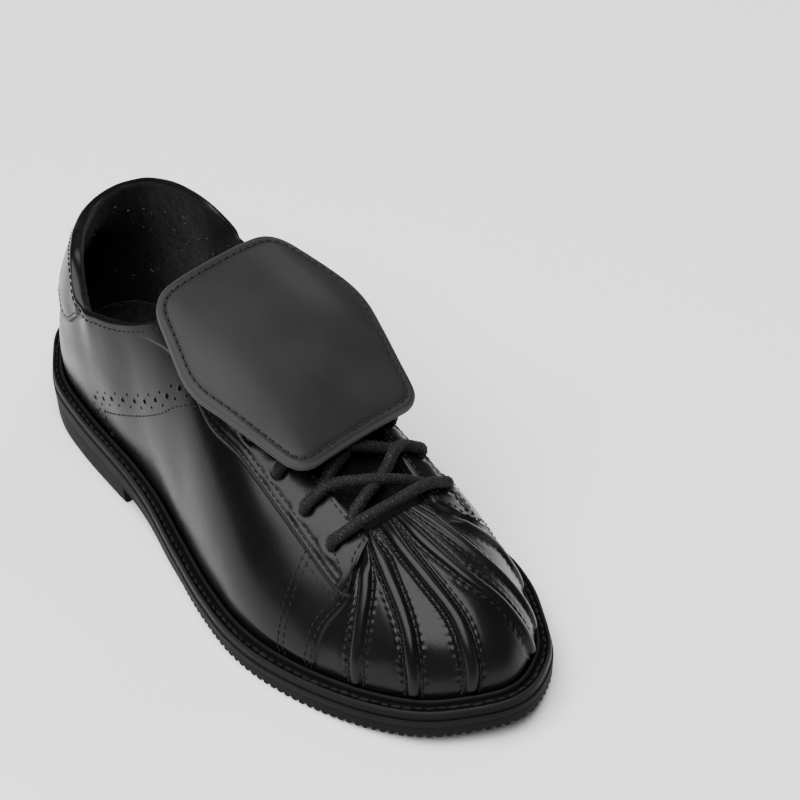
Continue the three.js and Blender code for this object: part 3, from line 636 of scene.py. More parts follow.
def stacked(rings):
    """Points and faces of rings laid on one another, closed at both ends by strips across."""
    columns = len(rings[0])
    spots = np.concatenate(rings)
    faces = [tuple(face) for face in ring_indices(len(rings), columns, False)]
    half = columns // 2
    for start, up in ((0, False), ((len(rings) - 1) * columns, True)):
        for i in range(half):
            far = (columns - i - 1) % columns
            near = (columns - i) % columns
            corners = list(dict.fromkeys((start + i, start + i + 1, start + far, start + near)))
            if len(corners) > 2:
                faces.append(tuple(corners if up else reversed(corners)))
    return spots, faces


def ring_places(count):
    """Places round the sole, closer together at the heel and the toe."""
    s = 2 * np.arange(count) / count
    return s - 0.3 * np.sin(2 * np.pi * s) / (2 * np.pi)


def sole_ring(s, inset, height):
    """A ring round the sole: inset from the outline, at a height."""
    edge = outline(s)
    ring = edge - outward(s) * np.broadcast_to(inset, s.shape)[..., None]
    ring[..., 2] = height
    return ring


class Wire:
    """A socket of a material. Arithmetic on it adds Math nodes."""

    def __init__(self, finish, socket):
        self.finish = finish
        self.socket = socket

    def math(self, operation, *values):
        return self.finish.node("ShaderNodeMath", {"operation": operation}, dict(enumerate(values)))

    def __add__(self, other):
        return self.math("ADD", self, other)

    __radd__ = __add__

    def __mul__(self, other):
        return self.math("MULTIPLY", self, other)

    __rmul__ = __mul__

    def __sub__(self, other):
        return self.math("SUBTRACT", self, other)

    def __rsub__(self, other):
        return self.math("SUBTRACT", other, self)

    def eased(self, low, high):
        """0 below low and 1 above high, eased between."""
        return self.finish.node("ShaderNodeMapRange", {"interpolation_type": "SMOOTHSTEP"},
                                {"Value": self, "From Min": low, "From Max": high})


class Finish:
    """A material made of nodes around one shader."""

    def __init__(self, name, fixed):
        self.material = bpy.data.materials.new(name)
        self.material.use_nodes = True
        self.tree = self.material.node_tree
        self.tree.nodes.clear()
        self.shader = self.tree.nodes.new("ShaderNodeBsdfPrincipled")
        output = self.tree.nodes.new("ShaderNodeOutputMaterial")
        self.tree.links.new(self.shader.outputs[0], output.inputs[0])
        for socket, value in fixed.items():
            self.shader.inputs[socket].default_value = value
        self.place = self.node("ShaderNodeTexCoord", out="Object")

    def node(self, kind, settings=None, values=None, out=0):
        """A node with its settings, and the values or links of its sockets."""
        made = self.tree.nodes.new(kind)
        for name, setting in (settings or {}).items():
            setattr(made, name, setting)
        for name, value in (values or {}).items():
            if isinstance(value, Wire):
                self.tree.links.new(value.socket, made.inputs[name])
            else:
                made.inputs[name].default_value = value
        return Wire(self, made.outputs[out])

    def noise(self, scale, detail=3.0, roughness=0.55, stretch=None):
        """Soft random shares over the piece, drawn out where a stretch is given."""
        place = self.place
        if stretch:
            place = self.node("ShaderNodeMapping", None, {"Vector": place, "Scale": stretch})
        return self.node("ShaderNodeTexNoise", None,
                         {"Vector": place, "Scale": scale, "Detail": detail, "Roughness": roughness})

    def cells(self, scale):
        """Rounded cells like the pebbles of leather."""
        return self.node("ShaderNodeTexVoronoi", {"feature": "SMOOTH_F1"},
                         {"Vector": self.place, "Scale": scale, "Smoothness": 0.4})

    def marked(self, name):
        """A number that the piece carries on its points."""
        return self.node("ShaderNodeAttribute", {"attribute_name": name}, out="Fac")

    def shade(self, share, low, high):
        """A colour between two, by a share."""
        return self.node("ShaderNodeMix", {"data_type": "RGBA"},
                         {0: share, 6: (*low, 1.0), 7: (*high, 1.0)}, out=2)

    def blended(self, share, colour, high):
        """A made colour that goes over to another one, by a share."""
        return self.node("ShaderNodeMix", {"data_type": "RGBA"},
                         {0: share, 6: colour, 7: (*high, 1.0)}, out=2)

    def feed(self, socket, wire):
        """Links a socket of the shader."""
        self.tree.links.new(wire.socket, self.shader.inputs[socket])

    def relief(self, height, depth, strength):
        """Bumps of a depth in mm."""
        self.feed("Normal", self.node("ShaderNodeBump", None, {
            "Strength": strength, "Distance": depth * MM, "Height": height}))


def scaled(colour, factor):
    """A lighter or darker colour of the same hue."""
    return tuple(min(channel * factor, 1.0) for channel in colour)


def leather_finish(name, colour, rough, grain, edge_and_highlight_colour):
    """Smooth finished leather with a fine grain, pores and cut edges that are duller and paler; their
    paleness is partly the raw edge's own colour and partly a painted highlight along the edge.
    """
    finish = Finish(name, {"Specular IOR Level": 0.5, "Coat Roughness": 0.18, "IOR": 1.24})
    cloud = finish.noise(22.0, 3.0).eased(0.35, 0.7)
    streak = finish.noise(90.0, 4.0, 0.6, (1.0, 2.4, 1.6))
    pebbles = finish.cells(1000.0 / grain)
    pores = finish.noise(2600.0, 2.0)
    # The edge mark makes cut edges paler and duller: partly the raw edge's own colour, partly a painted
    # highlight along the overlays' and the flap's edges.
    edge = finish.marked("edge")
    base = finish.shade(cloud, scaled(colour, 0.8), scaled(colour, 1.25))
    finish.feed("Base Color", finish.blended(edge, base, edge_and_highlight_colour))
    finish.feed("Roughness", (rough + 0.07 * cloud + 0.1 * (streak - 0.5) + 0.05 * pebbles) + 0.18 * edge)
    finish.feed("Coat Weight", 0.03 - 0.02 * edge)
    finish.relief(pebbles * 0.6 + pores * 0.15 + streak * 0.4, 0.05, 0.3)
    return finish.material


def rubber_finish(name, colour, rough, painted_shade_colour):
    """Moulded rubber: matte, finely pitted, with slight flow marks, a paler band that is also a painted
    highlight on the welt, and painted shade in its grooves, channel, joints and underside.
    """
    finish = Finish(name, {"Specular IOR Level": 0.4, "IOR": 1.13})
    cloud = finish.noise(30.0, 4.0).eased(0.3, 0.75)
    pits = finish.noise(1900.0, 3.0, 0.7)
    flow = finish.noise(160.0, 3.0, 0.5, (0.4, 0.4, 2.5))
    # The band mark makes the rubber paler and glossier: a paler band on the outsole's wall, and a painted
    # highlight along the welt's rim and the crown of its bead.
    pale_band_and_highlight = finish.marked("pale_band_and_highlight")
    # The shade mark paints shade: darker, duller rubber in the groove, the welt's channel, the joints and
    # under the sole.
    painted_shade = finish.marked("painted_shade")
    base = finish.shade(cloud, scaled(colour, 0.82), scaled(colour, 1.15))
    base = finish.blended(pale_band_and_highlight, base, scaled(colour, 2.4))
    finish.feed("Base Color", finish.blended(painted_shade, base, painted_shade_colour))
    finish.feed("Roughness", (rough + 0.1 * pits + 0.08 * (flow - 0.5)) - 0.16 * pale_band_and_highlight + 0.15 * painted_shade)
    finish.relief(pits * 0.6 + flow * 0.6, 0.12, 0.45)
    return finish.material


def fleece_finish(name, colour):
    """Brushed knit with clumps of nap."""
    finish = Finish(name, {"Specular IOR Level": 0.08, "Sheen Weight": 0.06, "Sheen Roughness": 0.5})
    nap = finish.noise(900.0, 5.0, 0.75)
    clump = finish.noise(160.0, 4.0, 0.65)
    base = finish.shade(clump.eased(0.3, 0.75), scaled(colour, 0.5), scaled(colour, 1.7))
    finish.feed("Base Color", base)
    finish.feed("Roughness", 0.86 + 0.14 * nap)
    finish.relief(nap * 0.7 + clump * 1.6, 0.8, 0.9)
    return finish.material


def cord_finish(name, colour, rough, speck):
    """Waxed cotton: strands with fine fibres along them and paler specks."""
    finish = Finish(name, {
        "Specular IOR Level": 0.4, "IOR": 1.25, "Sheen Weight": 0.05, "Sheen Roughness": 0.4})
    fibres = finish.noise(2400.0, 4.0, 0.7)
    tone = finish.noise(240.0, 2.0)
    specks = finish.noise(1300.0, 2.0, 0.8).eased(0.56, 0.66)
    base = finish.shade(tone.eased(0.3, 0.7), scaled(colour, 0.7), scaled(colour, 1.3))
    finish.feed("Base Color", finish.blended(specks, base, scaled(colour, speck)))
    finish.feed("Roughness", rough + 0.15 * fibres)
    finish.relief(fibres, 0.12, 0.6)
    return finish.material


def shaded_hole_finish(name):
    """Painted shade for a punched hole: a dark, barely reflecting disc in place of the hole's shaded depth.
    """
    finish = Finish(name, {"Specular IOR Level": 0.2, "IOR": 1.03})
    dust = finish.noise(1500.0, 2.0)
    finish.feed("Base Color", finish.shade(dust, (0.001, 0.001, 0.001), (0.004, 0.004, 0.004)))
    finish.feed("Roughness", 0.85 + 0.1 * dust)
    return finish.material


def floor_finish(name, colour):
    """Matte studio board."""
    finish = Finish(name, {"Specular IOR Level": 0.15})
    tooth = finish.noise(300.0, 3.0)
    finish.feed("Base Color", finish.shade(tooth, scaled(colour, 0.99), colour))
    finish.feed("Roughness", 0.85 + 0.1 * tooth)
    return finish.material


def length_setting(name, description, default, low):
    """A length in metres that a user may change."""
    return bpy.props.FloatProperty(
        name=name, description=description, default=default, min=low, unit="LENGTH")


def colour_setting(name, description, default):
    """A colour that a user may change."""
    return bpy.props.FloatVectorProperty(
        name=name, description=description, default=default, subtype="COLOR", min=0, max=1)


class ShoeSizes(bpy.types.PropertyGroup):
    """Sizes of the dressed details."""

    rib_width: length_setting("Rib width", "Width of a rib of the shell toe", 0.0048, 0.001)
    rib_height: length_setting("Rib height", "How far a rib stands out", 0.0017, 0.0)
    stitch_pitch: length_setting("Stitch pitch", "Distance between stitches on leather", 0.0029, 0.0005)
    stitch_length: length_setting("Stitch length", "Length of one stitch", 0.0021, 0.0002)
    thread: length_setting("Thread", "Thickness of the sewing thread", 0.00062, 0.0001)
    hole_pitch: length_setting("Hole pitch", "Distance between the large punched holes", 0.0093, 0.001)
    lace_width: length_setting("Lace width", "Diameter of the round lace", 0.0046, 0.001)
    tooth_pitch: length_setting("Tooth pitch", "Distance between the teeth under the forefoot", 0.0035, 0.001)
    grain: length_setting("Grain", "Size of a pebble of the leather's grain", 0.00055, 0.0001)


class ShoeColours(bpy.types.PropertyGroup):
    """Colours of the materials."""

    leather: colour_setting("Leather", "Upper and tongue", (0.0036, 0.0036, 0.0038))
    # Colour of the overlays' cut edges: partly their own paler colour, partly a painted highlight.
    leather_edge_and_highlight: colour_setting("Leather edge", "Cut edges of the upper's overlays", (0.02, 0.02, 0.021))
    flap: colour_setting("Flap", "Flap over the laces", (0.0118, 0.0118, 0.0121))
    # Colour of the flap's cut edge and rolled rim: partly their own paler colour, partly a painted highlight.
    flap_edge_and_highlight: colour_setting("Flap edge", "Cut edge of the flap", (0.05, 0.05, 0.051))
    rubber: colour_setting("Rubber", "Outsole and welt", (0.0075, 0.0075, 0.0077))
    lining: colour_setting("Lining", "Fleece lining and footbed", (0.003, 0.003, 0.0032))
    lint: colour_setting("Lint", "Pale fibres caught in the fleece", (0.14, 0.14, 0.145))
    cord: colour_setting("Cord", "Laces and thread", (0.0065, 0.0065, 0.0068))
    floor: colour_setting("Floor", "Studio floor", (0.92, 0.92, 0.92))


finishes = {}


def finish_of(kind):
    """A material by its kind, made once."""
    colours = bpy.context.scene.shoe_colours
    grain = bpy.context.scene.shoe_sizes.grain / MM
    rubber = tuple(colours.rubber)
    cord = tuple(colours.cord)
    makers = {
        "leather": (leather_finish, "semi_gloss_leather", tuple(colours.leather), 0.23, grain,
                    tuple(colours.leather_edge_and_highlight)),
        "flap": (leather_finish, "satin_flap_leather", tuple(colours.flap), 0.42, grain,
                 tuple(colours.flap_edge_and_highlight)),
        # The last colour of the rubber and of the welt is their painted shade.
        "rubber": (rubber_finish, "moulded_sole_rubber", rubber, 0.58, (0.003, 0.003, 0.003)),
        "welt": (rubber_finish, "welt_rubber", scaled(rubber, 0.75), 0.42, (0.002, 0.002, 0.002)),
        "lining": (fleece_finish, "fleece_lining", tuple(colours.lining)),
        "lint": (fleece_finish, "lint", tuple(colours.lint)),
        "cord": (cord_finish, "braided_cord", cord, 0.6, 5.0),
        "thread": (cord_finish, "sewing_thread", scaled(cord, 1.4), 0.45, 1.5),
        "twine": (cord_finish, "welt_twine", scaled(cord, 0.9), 0.7, 2.0),
        "hollow": (shaded_hole_finish, "punched_hollow"),
        "floor": (floor_finish, "studio_floor", tuple(colours.floor)),
    }
    if kind not in finishes:
        maker, *values = makers[kind]
        finishes[kind] = maker(*values)
    return finishes[kind]


class NodeTree:
    """A Geometry Nodes tree under construction."""

    def __init__(self, name, inputs):
        self.tree = bpy.data.node_groups.new(name, "GeometryNodeTree")
        self.tree.is_modifier = True
        face = self.tree.interface
        face.new_socket("Geometry", in_out="INPUT", socket_type="NodeSocketGeometry")
        face.new_socket("Geometry", in_out="OUTPUT", socket_type="NodeSocketGeometry")
        for label, kind, default in inputs:
            socket = face.new_socket(label, in_out="INPUT", socket_type=kind)
            if default is not None:
                socket.default_value = default
        self.given = self.tree.nodes.new("NodeGroupInput")
        self.result = self.tree.nodes.new("NodeGroupOutput")

    def input(self, label):
        return self.given.outputs[label]

    def node(self, kind, settings=None, values=None):
        """A node with its settings, and the values or links of its sockets."""
        made = self.tree.nodes.new(kind)
        for name, setting in (settings or {}).items():
            setattr(made, name, setting)
        for name, value in (values or {}).items():
            if isinstance(value, bpy.types.Node):
                value = value.outputs[0]
            if isinstance(value, bpy.types.NodeSocket):
                self.tree.links.new(value, made.inputs[name])
            else:
                made.inputs[name].default_value = value
        return made

    def math(self, operation, first, second):
        return self.node("ShaderNodeMath", {"operation": operation}, {0: first, 1: second})

    def dressed(self, geometry, label):
        """The geometry with the material of an input."""
        return self.node("GeometryNodeSetMaterial", None,
                         {"Geometry": geometry, "Material": self.input(label)})

    def turned(self, axis):
        """A turn that lays an axis along the vector named lie."""
        lie = self.node("GeometryNodeInputNamedAttribute", {"data_type": "FLOAT_VECTOR"}, {"Name": "lie"})
        return self.node("FunctionNodeAlignRotationToVector", {"axis": axis}, {"Vector": lie})

    def realized(self, placed):
        """The placed copies as one smooth mesh."""
        real = self.node("GeometryNodeRealizeInstances", None, {"Geometry": placed})
        return self.node("GeometryNodeSetShadeSmooth", None, {"Geometry": real})

    def end(self, made):
        """The finished tree, with what the last node made as its result."""
        self.tree.links.new(made.outputs[0], self.result.inputs[0])
        return self.tree


def stitch_tree():
    """Rows of stitches: a pill on each step of every line, lying along the vector named lie."""
    made = NodeTree("Stitch rows", (
        ("Pitch", "NodeSocketFloat", 0.003), ("Length", "NodeSocketFloat", 0.002),
        ("Thread", "NodeSocketFloat", 0.0006), ("Unevenness", "NodeSocketFloat", 0.1),
        ("Seed", "NodeSocketInt", 7), ("Material", "NodeSocketMaterial", None)))
    lines = made.node("GeometryNodeMeshToCurve", None, {"Mesh": made.input("Geometry")})
    steps = made.node("GeometryNodeResampleCurve", {"mode": "LENGTH"},
                      {"Curve": lines, "Length": made.input("Pitch")})
    half = made.math("MULTIPLY", made.input("Length"), 0.5)
    thick = made.math("MULTIPLY", made.input("Thread"), 0.5)
    size = made.node("ShaderNodeCombineXYZ", None, {0: half, 1: thick, 2: thick})
    pill = made.node("GeometryNodeMeshUVSphere", None, {"Segments": 6, "Rings": 5, "Radius": 1.0})
    upright = made.node("GeometryNodeTransform", None, {"Geometry": pill, "Rotation": (0, math.pi / 2, 0)})
    stitch = made.node("GeometryNodeTransform", None, {"Geometry": upright, "Scale": size})
    low = made.math("SUBTRACT", 1.0, made.input("Unevenness"))
    high = made.math("ADD", 1.0, made.input("Unevenness"))
    varied = made.node("FunctionNodeRandomValue", {"data_type": "FLOAT"},
                       {2: low, 3: high, "Seed": made.input("Seed")})
    placed = made.node("GeometryNodeInstanceOnPoints", None, {
        "Points": steps, "Instance": stitch, "Rotation": made.turned("X"), "Scale": varied.outputs[1]})
    return made.end(made.dressed(made.realized(placed), "Material"))


def hole_tree():
    """Punched holes: a dark floor of painted shade, standing for the hole's shaded depth, inside a low rolled
    lip on every point, facing the vector named lie.
    """
    made = NodeTree("Punched holes", (
        ("Lip", "NodeSocketFloat", 0.25), ("Leather", "NodeSocketMaterial", None),
        ("Hollow", "NodeSocketMaterial", None)))
    floor = made.node("GeometryNodeMeshCircle", {"fill_type": "TRIANGLE_FAN"},
                      {"Vertices": 14, "Radius": 0.86})
    raised = made.node("GeometryNodeTransform", None, {"Geometry": floor, "Translation": (0, 0, 0.06)})
    lip = made.node("GeometryNodeMeshCone", {"fill_type": "NONE"}, {
        "Vertices": 14, "Side Segments": 2, "Radius Top": 0.84, "Radius Bottom": 1.3,
        "Depth": made.input("Lip")})
    both = made.node("GeometryNodeJoinGeometry")
    for part in (made.dressed(raised, "Hollow"), made.dressed(lip, "Leather")):
        made.tree.links.new(part.outputs[0], both.inputs[0])
    width = made.node("GeometryNodeInputNamedAttribute", {"data_type": "FLOAT"}, {"Name": "width"})
    placed = made.node("GeometryNodeInstanceOnPoints", None, {
        "Points": made.input("Geometry"), "Instance": both, "Rotation": made.turned("Z"), "Scale": width})
    return made.end(made.realized(placed))


def nap_tree():
    """Loose fibres scattered over a surface, leaning every way."""
    made = NodeTree("Nap", (
        ("Density", "NodeSocketFloat", 60000.0), ("Length", "NodeSocketFloat", 0.0016),
        ("Thickness", "NodeSocketFloat", 0.00012), ("Lean", "NodeSocketFloat", 1.0),
        ("Seed", "NodeSocketInt", 11), ("Material", "NodeSocketMaterial", None)))
    spread = made.node("GeometryNodeDistributePointsOnFaces", None, {
        "Mesh": made.input("Geometry"), "Density": made.input("Density"), "Seed": made.input("Seed")})
    fibre = made.node("GeometryNodeMeshCone", {"fill_type": "NONE"}, {
        "Vertices": 3, "Side Segments": 1, "Radius Top": 0.00002,
        "Radius Bottom": made.input("Thickness"), "Depth": made.input("Length")})
    back = made.math("MULTIPLY", made.input("Lean"), -1.0)
    low = made.node("ShaderNodeCombineXYZ", None, {0: back, 1: back, 2: -3.14})
    high = made.node("ShaderNodeCombineXYZ", None,
                     {0: made.input("Lean"), 1: made.input("Lean"), 2: 3.14})
    tilt = made.node("FunctionNodeRandomValue", {"data_type": "FLOAT_VECTOR"},
                     {0: low, 1: high, "Seed": made.input("Seed")})
    turned = made.node("FunctionNodeRotateRotation", {"rotation_space": "LOCAL"},
                       {"Rotation": spread.outputs["Rotation"], "Rotate By": tilt})
    placed = made.node("GeometryNodeInstanceOnPoints", None,
                       {"Points": spread, "Instance": fibre, "Rotation": turned})
    real = made.node("GeometryNodeRealizeInstances", None, {"Geometry": placed})
    return made.end(made.dressed(real, "Material"))


def grown(piece, tree, values):
    """Runs a tree on a piece and keeps the result as its plain mesh."""
    modifier = piece.modifiers.new("grow", "NODES")
    modifier.node_group = tree
    for socket in tree.interface.items_tree:
        if socket.item_type == "SOCKET" and socket.in_out == "INPUT" and socket.name in values:
            modifier[socket.identifier] = values[socket.name]
    piece.data.update()
    bpy.context.view_layer.update()
    ready = piece.evaluated_get(bpy.context.evaluated_depsgraph_get())
    mesh = bpy.data.meshes.new_from_object(ready)
    piece.modifiers.remove(modifier)
    piece.data = mesh
    mesh.name = piece.name
    if not mesh.polygons:
        raise RuntimeError(f"{piece.name} came out empty")
    return piece


def carrier(name, lines, lies, widths=None):
    """An object of bare lines, or of bare points where every line has one point, that a tree grows on."""
    spots = np.concatenate(lines)
    edges = []
    start = 0
    for line in lines:
        edges += [(start + i, start + i + 1) for i in range(len(line) - 1)]
        start += len(line)
    mesh = bpy.data.meshes.new(name)
    mesh.from_pydata(framed(spots).tolist(), edges, [])
    lie = mesh.attributes.new("lie", "FLOAT_VECTOR", "POINT")
    lie.data.foreach_set("vector", np.concatenate(lies).astype(np.float32).ravel())
    if widths is not None:
        width = mesh.attributes.new("width", "FLOAT", "POINT")
        width.data.foreach_set("value", (np.asarray(widths) * MM).astype(np.float32))
    piece = bpy.data.objects.new(name, mesh)
    bpy.context.scene.collection.objects.link(piece)
    return piece


def tangents(line):
    """Directions along a line of points."""
    return unit(np.gradient(line, axis=0))


def section_length(s):
    """About how long the section is at a place, in mm, along its curve."""
    return np.linalg.norm(surface(s, np.ones_like(s)) - surface(s, np.zeros_like(s)), axis=-1) * 1.12


def edge_distance(s, w):
    """Distance in mm from the overlay's edge, positive on the overlay."""
    return (w - section_curves["edge"](s)) * section_length(s)


def along_edge(s, offset):
    """Shares of the section that lie at an offset in mm above the overlay's edge."""
    return section_curves["edge"](s) + offset / section_length(s)


def below_rim(s, offset):
    """Shares of the section at an offset in mm below the upper edge."""
    w = np.full_like(s, 0.9)
    gap = np.linalg.norm(surface(s, np.ones_like(s)) - surface(s, w), axis=-1)
    return 1 - 0.1 * offset / gap


def on_side(outer_side, s):
    """Places counted from the heel along one side, as places round the sole."""
    return s if outer_side else 2 - s


def stitch_courses():
    """Places and shares of every stitched line on the upper, but for the punched panel's and the ribs'."""
    courses = []
    w = np.linspace(0.02, 0.96, 90)
    for outer_side, way in ((True, -1), (False, 1)):
        fold = on_side(outer_side, front_at(outer_side, w))
        courses += [(fold + way * offset / speed_at(fold, w), w) for offset in FOLD_ROWS]
    w = np.linspace(0.02, 0.66, 50)
    for outer_side, front, toe_seam in ((True, OUTER_FRONT, TOE_SEAM_OUTER),
                                        (False, INNER_FRONT, TOE_SEAM_INNER)):
        facing = on_side(outer_side, np.linspace(FACING_TOP + 0.005, front - 0.008, 90))
        courses += [(facing, along_edge(facing, offset)) for offset in FACING_ROWS]
        tab = on_side(outer_side, np.linspace(0.0, NOTCH - 0.016, 90))
        courses.append((tab, along_edge(tab, TAB_ROW)))
        collar = on_side(outer_side, np.linspace(0.0, FACING_TOP, 140))
        courses.append((collar, below_rim(collar, COLLAR_ROW)))
        mouth = on_side(outer_side, np.linspace(FACING_TOP, front - 0.006, 70))
        courses.append((mouth, below_rim(mouth, MOUTH_ROW)))
        for offset in TOE_SEAM_ROWS:
            seam = toe_seam + offset / speed_at(np.full_like(w, toe_seam), w)
            courses.append((seam, np.minimum(w, along_edge(seam, -0.6))))
        corner = on_side(outer_side, np.linspace(TOE_SEAM_OUTER, front + 0.008, 24))
        courses.append((corner, along_edge(corner, CORNER_ROW)))
    return courses


def relief(s, w):
    """How far the leather stands off its own surface, in mm."""
    sizes = bpy.context.scene.shoe_sizes
    rib_height = sizes.rib_height / MM
    s, w = np.broadcast_arrays(s, w)
    lift = np.zeros_like(w)
    for index, curve in enumerate(rib_curves):
        half = rib_half(index, w, sizes.rib_width / MM)
        across = (s - curve(w)) / half
        fade = rib_fade(index, w)
        crown = np.sqrt(np.clip(1 - across ** 2, 0, 1))
        beside = np.abs(across)
        pull = 0.5 + 0.5 * np.cos(2 * np.pi * rib_reach(index, w) / PUCKER_PITCH)
        lift += rib_height * crown * fade
        lift -= 0.4 * bell(beside - 1.32, 0.24) * fade
        lift += (0.08 + 0.26 * pull) * bell(beside - 1.85, 0.34) * fade
        lift += 0.12 * bell(beside - 2.9, 1.1) * fade
    spots = surface(s, w)
    for start_s, start_w, end_s, end_w, half, rise in CREASES:
        share = np.linspace(0, 1, 9)
        line = surface(mix(start_s, end_s, share), mix(start_w, end_w, share))
        gap = np.min([np.linalg.norm(spots - spot, axis=-1) for spot in line], axis=0)
        lift += rise * bell(gap, half)
    apart = edge_distance(s, w)
    stay = smooth(FACING_TOP, FACING_TOP + 0.02, side_of(s)) * (side_of(s) < INNER_FRONT + 0.01)
    tab = 1 - smooth(NOTCH - 0.02, NOTCH - 0.01, side_of(s))
    lift -= 0.22 * sum(bell(apart - offset, 0.8) for offset in FACING_ROWS) * stay
    lift -= 0.3 * bell(apart - TAB_ROW, 0.9) * tab
    lift += 0.5 * smooth(3.0, 9.0, apart) * tab
    for outer_side in (True, False):
        for k in range(EYELET_COUNT):
            at_s, at_w = eyelet_at(outer_side, k)
            gap = np.linalg.norm(spots - surface(np.array(at_s), np.array(at_w)), axis=-1)
            lift += 0.35 * bell(gap - 3.6, 1.3) - 0.9 * bell(gap, EYELET_RADIUS)
    waves = (0.04 * np.sin(spots[..., 0] / 11.0 + spots[..., 2] / 17.0)
             + 0.03 * np.sin(spots[..., 0] / 6.3 - spots[..., 1] / 8.0 + 1.3)
             + 0.02 * np.sin(spots[..., 2] / 5.0 + spots[..., 0] / 21.0 + 0.4))
    return (lift + waves) * smooth(0.0, 0.05, w)


def napped(name, spots, quads, kind, values):
    """A piece of loose fibres on a surface inside the shoe."""
    piece = new_piece(name, spots, quads, [])
    grown(piece, nap_tree(), {**values, "Material": finish_of(kind)})
    settle(piece, "lining")


def pierced(name, spots, facing, radii, lip, kind):
    """A piece of holes, each a disc of painted shade in a leather lip, with a radius in mm each, on points
    that face given ways.
    """
    holes = carrier(name, [spot[None] for spot in spots], [facing], radii)
    grown(holes, hole_tree(), {"Lip": lip, "Leather": finish_of(kind), "Hollow": finish_of("hollow")})
    settle(holes, "flap_leather" if kind == "flap" else "upper_leather")


def on_leather(s, w, more):
    """Points of the dressed leather, raised by a further distance in mm."""
    return outside(s, w, relief(s, w) + more)


class SHOE_OT_outsole(bpy.types.Operator):
    """Makes the moulded outsole with its heel, arch and toothed edge"""

    bl_idname = "shoe.outsole"
    bl_label = "Outsole"

    # Groove round the side wall: share of the wall's height, how far it dips in mm, and the painted shade in
    # it
    GROOVE_ROWS = (
        (0.2, 0.0, 0), (0.4, 0.0, 0), (0.58, 0.0, 0), (0.61, 0.03, 0.1), (0.625, 0.07, 0.3),
        (0.64, 0.02, 0.1), (0.68, -0.02, 0), (0.85, 0.0, 0), (0.95, 0.0, 0),
    )

    def execute(self, context):
        pitch = context.scene.shoe_sizes.tooth_pitch / MM
        fine = np.linspace(0, 2, 4001)
        gone = travelled(outline(fine))
        reach = np.linspace(0, gone[-1], 1500, endpoint=False)
        s = np.interp(reach, gone, fine)
        x = outline(s)[..., 0]
        fore = smooth(ARCH_END + 4, ARCH_END + 12, x)
        turn = np.mod(reach / pitch, 1.0)
        tooth = smooth(0.0, 0.12, turn) * (1 - smooth(0.42, 0.56, turn)) * fore
        bevel = mix(FLOOR_BEVEL, 0.6, fore)
        flare = -HEEL_FLARE * (1 - smooth(0.02, 0.14, x / SOLE_LENGTH))
        floor = floor_height(x)
        seat = seat_height(x)
        # Rows of the wall from the underside up: inset, height, band share and shade share. The shade share
        # paints shade under the sole, in the groove and at the joint with the welt; the band share makes the
        # bottom rows and the wall above the groove paler.
        rows = [
            (flare + 6.0, floor, 0.2, 0.3),
            (flare + 5.0, floor + 0.8 * tooth, 0.2, 0.3),
            (flare + bevel, floor + 0.95 * tooth, 0.2, 0.0),
            (flare + 0.3 * bevel + 0.2 * tooth, floor + 0.22 * bevel + 0.95 * tooth, 0.2, 0.0),
            (flare + 0.08 * bevel + 0.25 * tooth, floor + 0.56 * bevel + 0.8 * tooth, 0.1, 0.0),
            (flare + 0.1 * tooth, floor + FLOOR_BEVEL + 0.2 * tooth, 0.0, 0.0),
        ]
        for share, dip, shade_share in self.GROOVE_ROWS:
            rows.append((mix(flare, -BAND_FLARE, share) + dip,
                         mix(floor + FLOOR_BEVEL, seat - BAND_FLARE, share), 0.22 * (share > 0.64), shade_share))
        rows += [(-BAND_FLARE, seat - BAND_FLARE, 0.3, 0.0), (-0.3, seat - 0.12, 0.3, 0.0),
                 (0.0, seat, 0.2, 0.5)]
        spots, faces = stacked([sole_ring(s, inset, height) for inset, height, band_and_highlight_share, shade_share in rows])
        body = new_piece("outsole_rubber", spots, faces, [finish_of("rubber")])
        mark(body, "pale_band_and_highlight", np.repeat([band_and_highlight_share for inset, height, band_and_highlight_share, shade_share in rows], len(s)))
        mark(body, "painted_shade", np.repeat([shade_share for inset, height, band_and_highlight_share, shade_share in rows], len(s)))
        below = -HEEL_HEIGHT
        arch = [(mix(HEEL_LENGTH, ARCH_END, at), BREAST_HEIGHT * rise) for at, rise in ARCH_ROWS]
        profiles = [[(HEEL_LENGTH, below), *arch, (ARCH_END, below)]]
        for x in np.arange(4 * pitch, HEEL_LENGTH - 2 * pitch, 4 * pitch):
            low = float(floor_height(x))
            profiles.append([(x - HEEL_GROOVE_HALF, low - HEEL_GROOVE_DEPTH),
                             (x + HEEL_GROOVE_HALF, low - HEEL_GROOVE_DEPTH), (x, low + HEEL_GROOVE_DEPTH)])
        cutter = self.prism(profiles)
        boolean = body.modifiers.new("cut", "BOOLEAN")
        boolean.operation = "DIFFERENCE"
        boolean.solver = "EXACT"
        boolean.object = cutter
        ready = body.evaluated_get(context.evaluated_depsgraph_get())
        mesh = bpy.data.meshes.new_from_object(ready)
        body.modifiers.clear()
        body.data = mesh
        bpy.data.objects.remove(cutter)
        mesh.shade_smooth()
        mesh.set_sharp_from_angle(angle=math.radians(38))
        settle(body, "sole_rubber", "outsole")
        return {"FINISHED"}

    @staticmethod
    def prism(profiles):
        """Bars across the sole with a profile in the side view."""
        spots = []
        faces = []
        for profile in profiles:
            start = len(spots)
            count = len(profile)
            spots += [(x, -BALL_WIDTH, z) for x, z in profile] + [(x, BALL_WIDTH, z) for x, z in profile]
            faces.append(tuple(range(start, start + count)))
            faces.append(tuple(range(start + 2 * count - 1, start + count - 1, -1)))
            for i in range(count):
                after = (i + 1) % count
                faces.append((start + i, start + count + i, start + count + after, start + after))
        cutter = new_piece("sole_cutter", spots, faces, [])
        turned_outward(cutter)
        return cutter


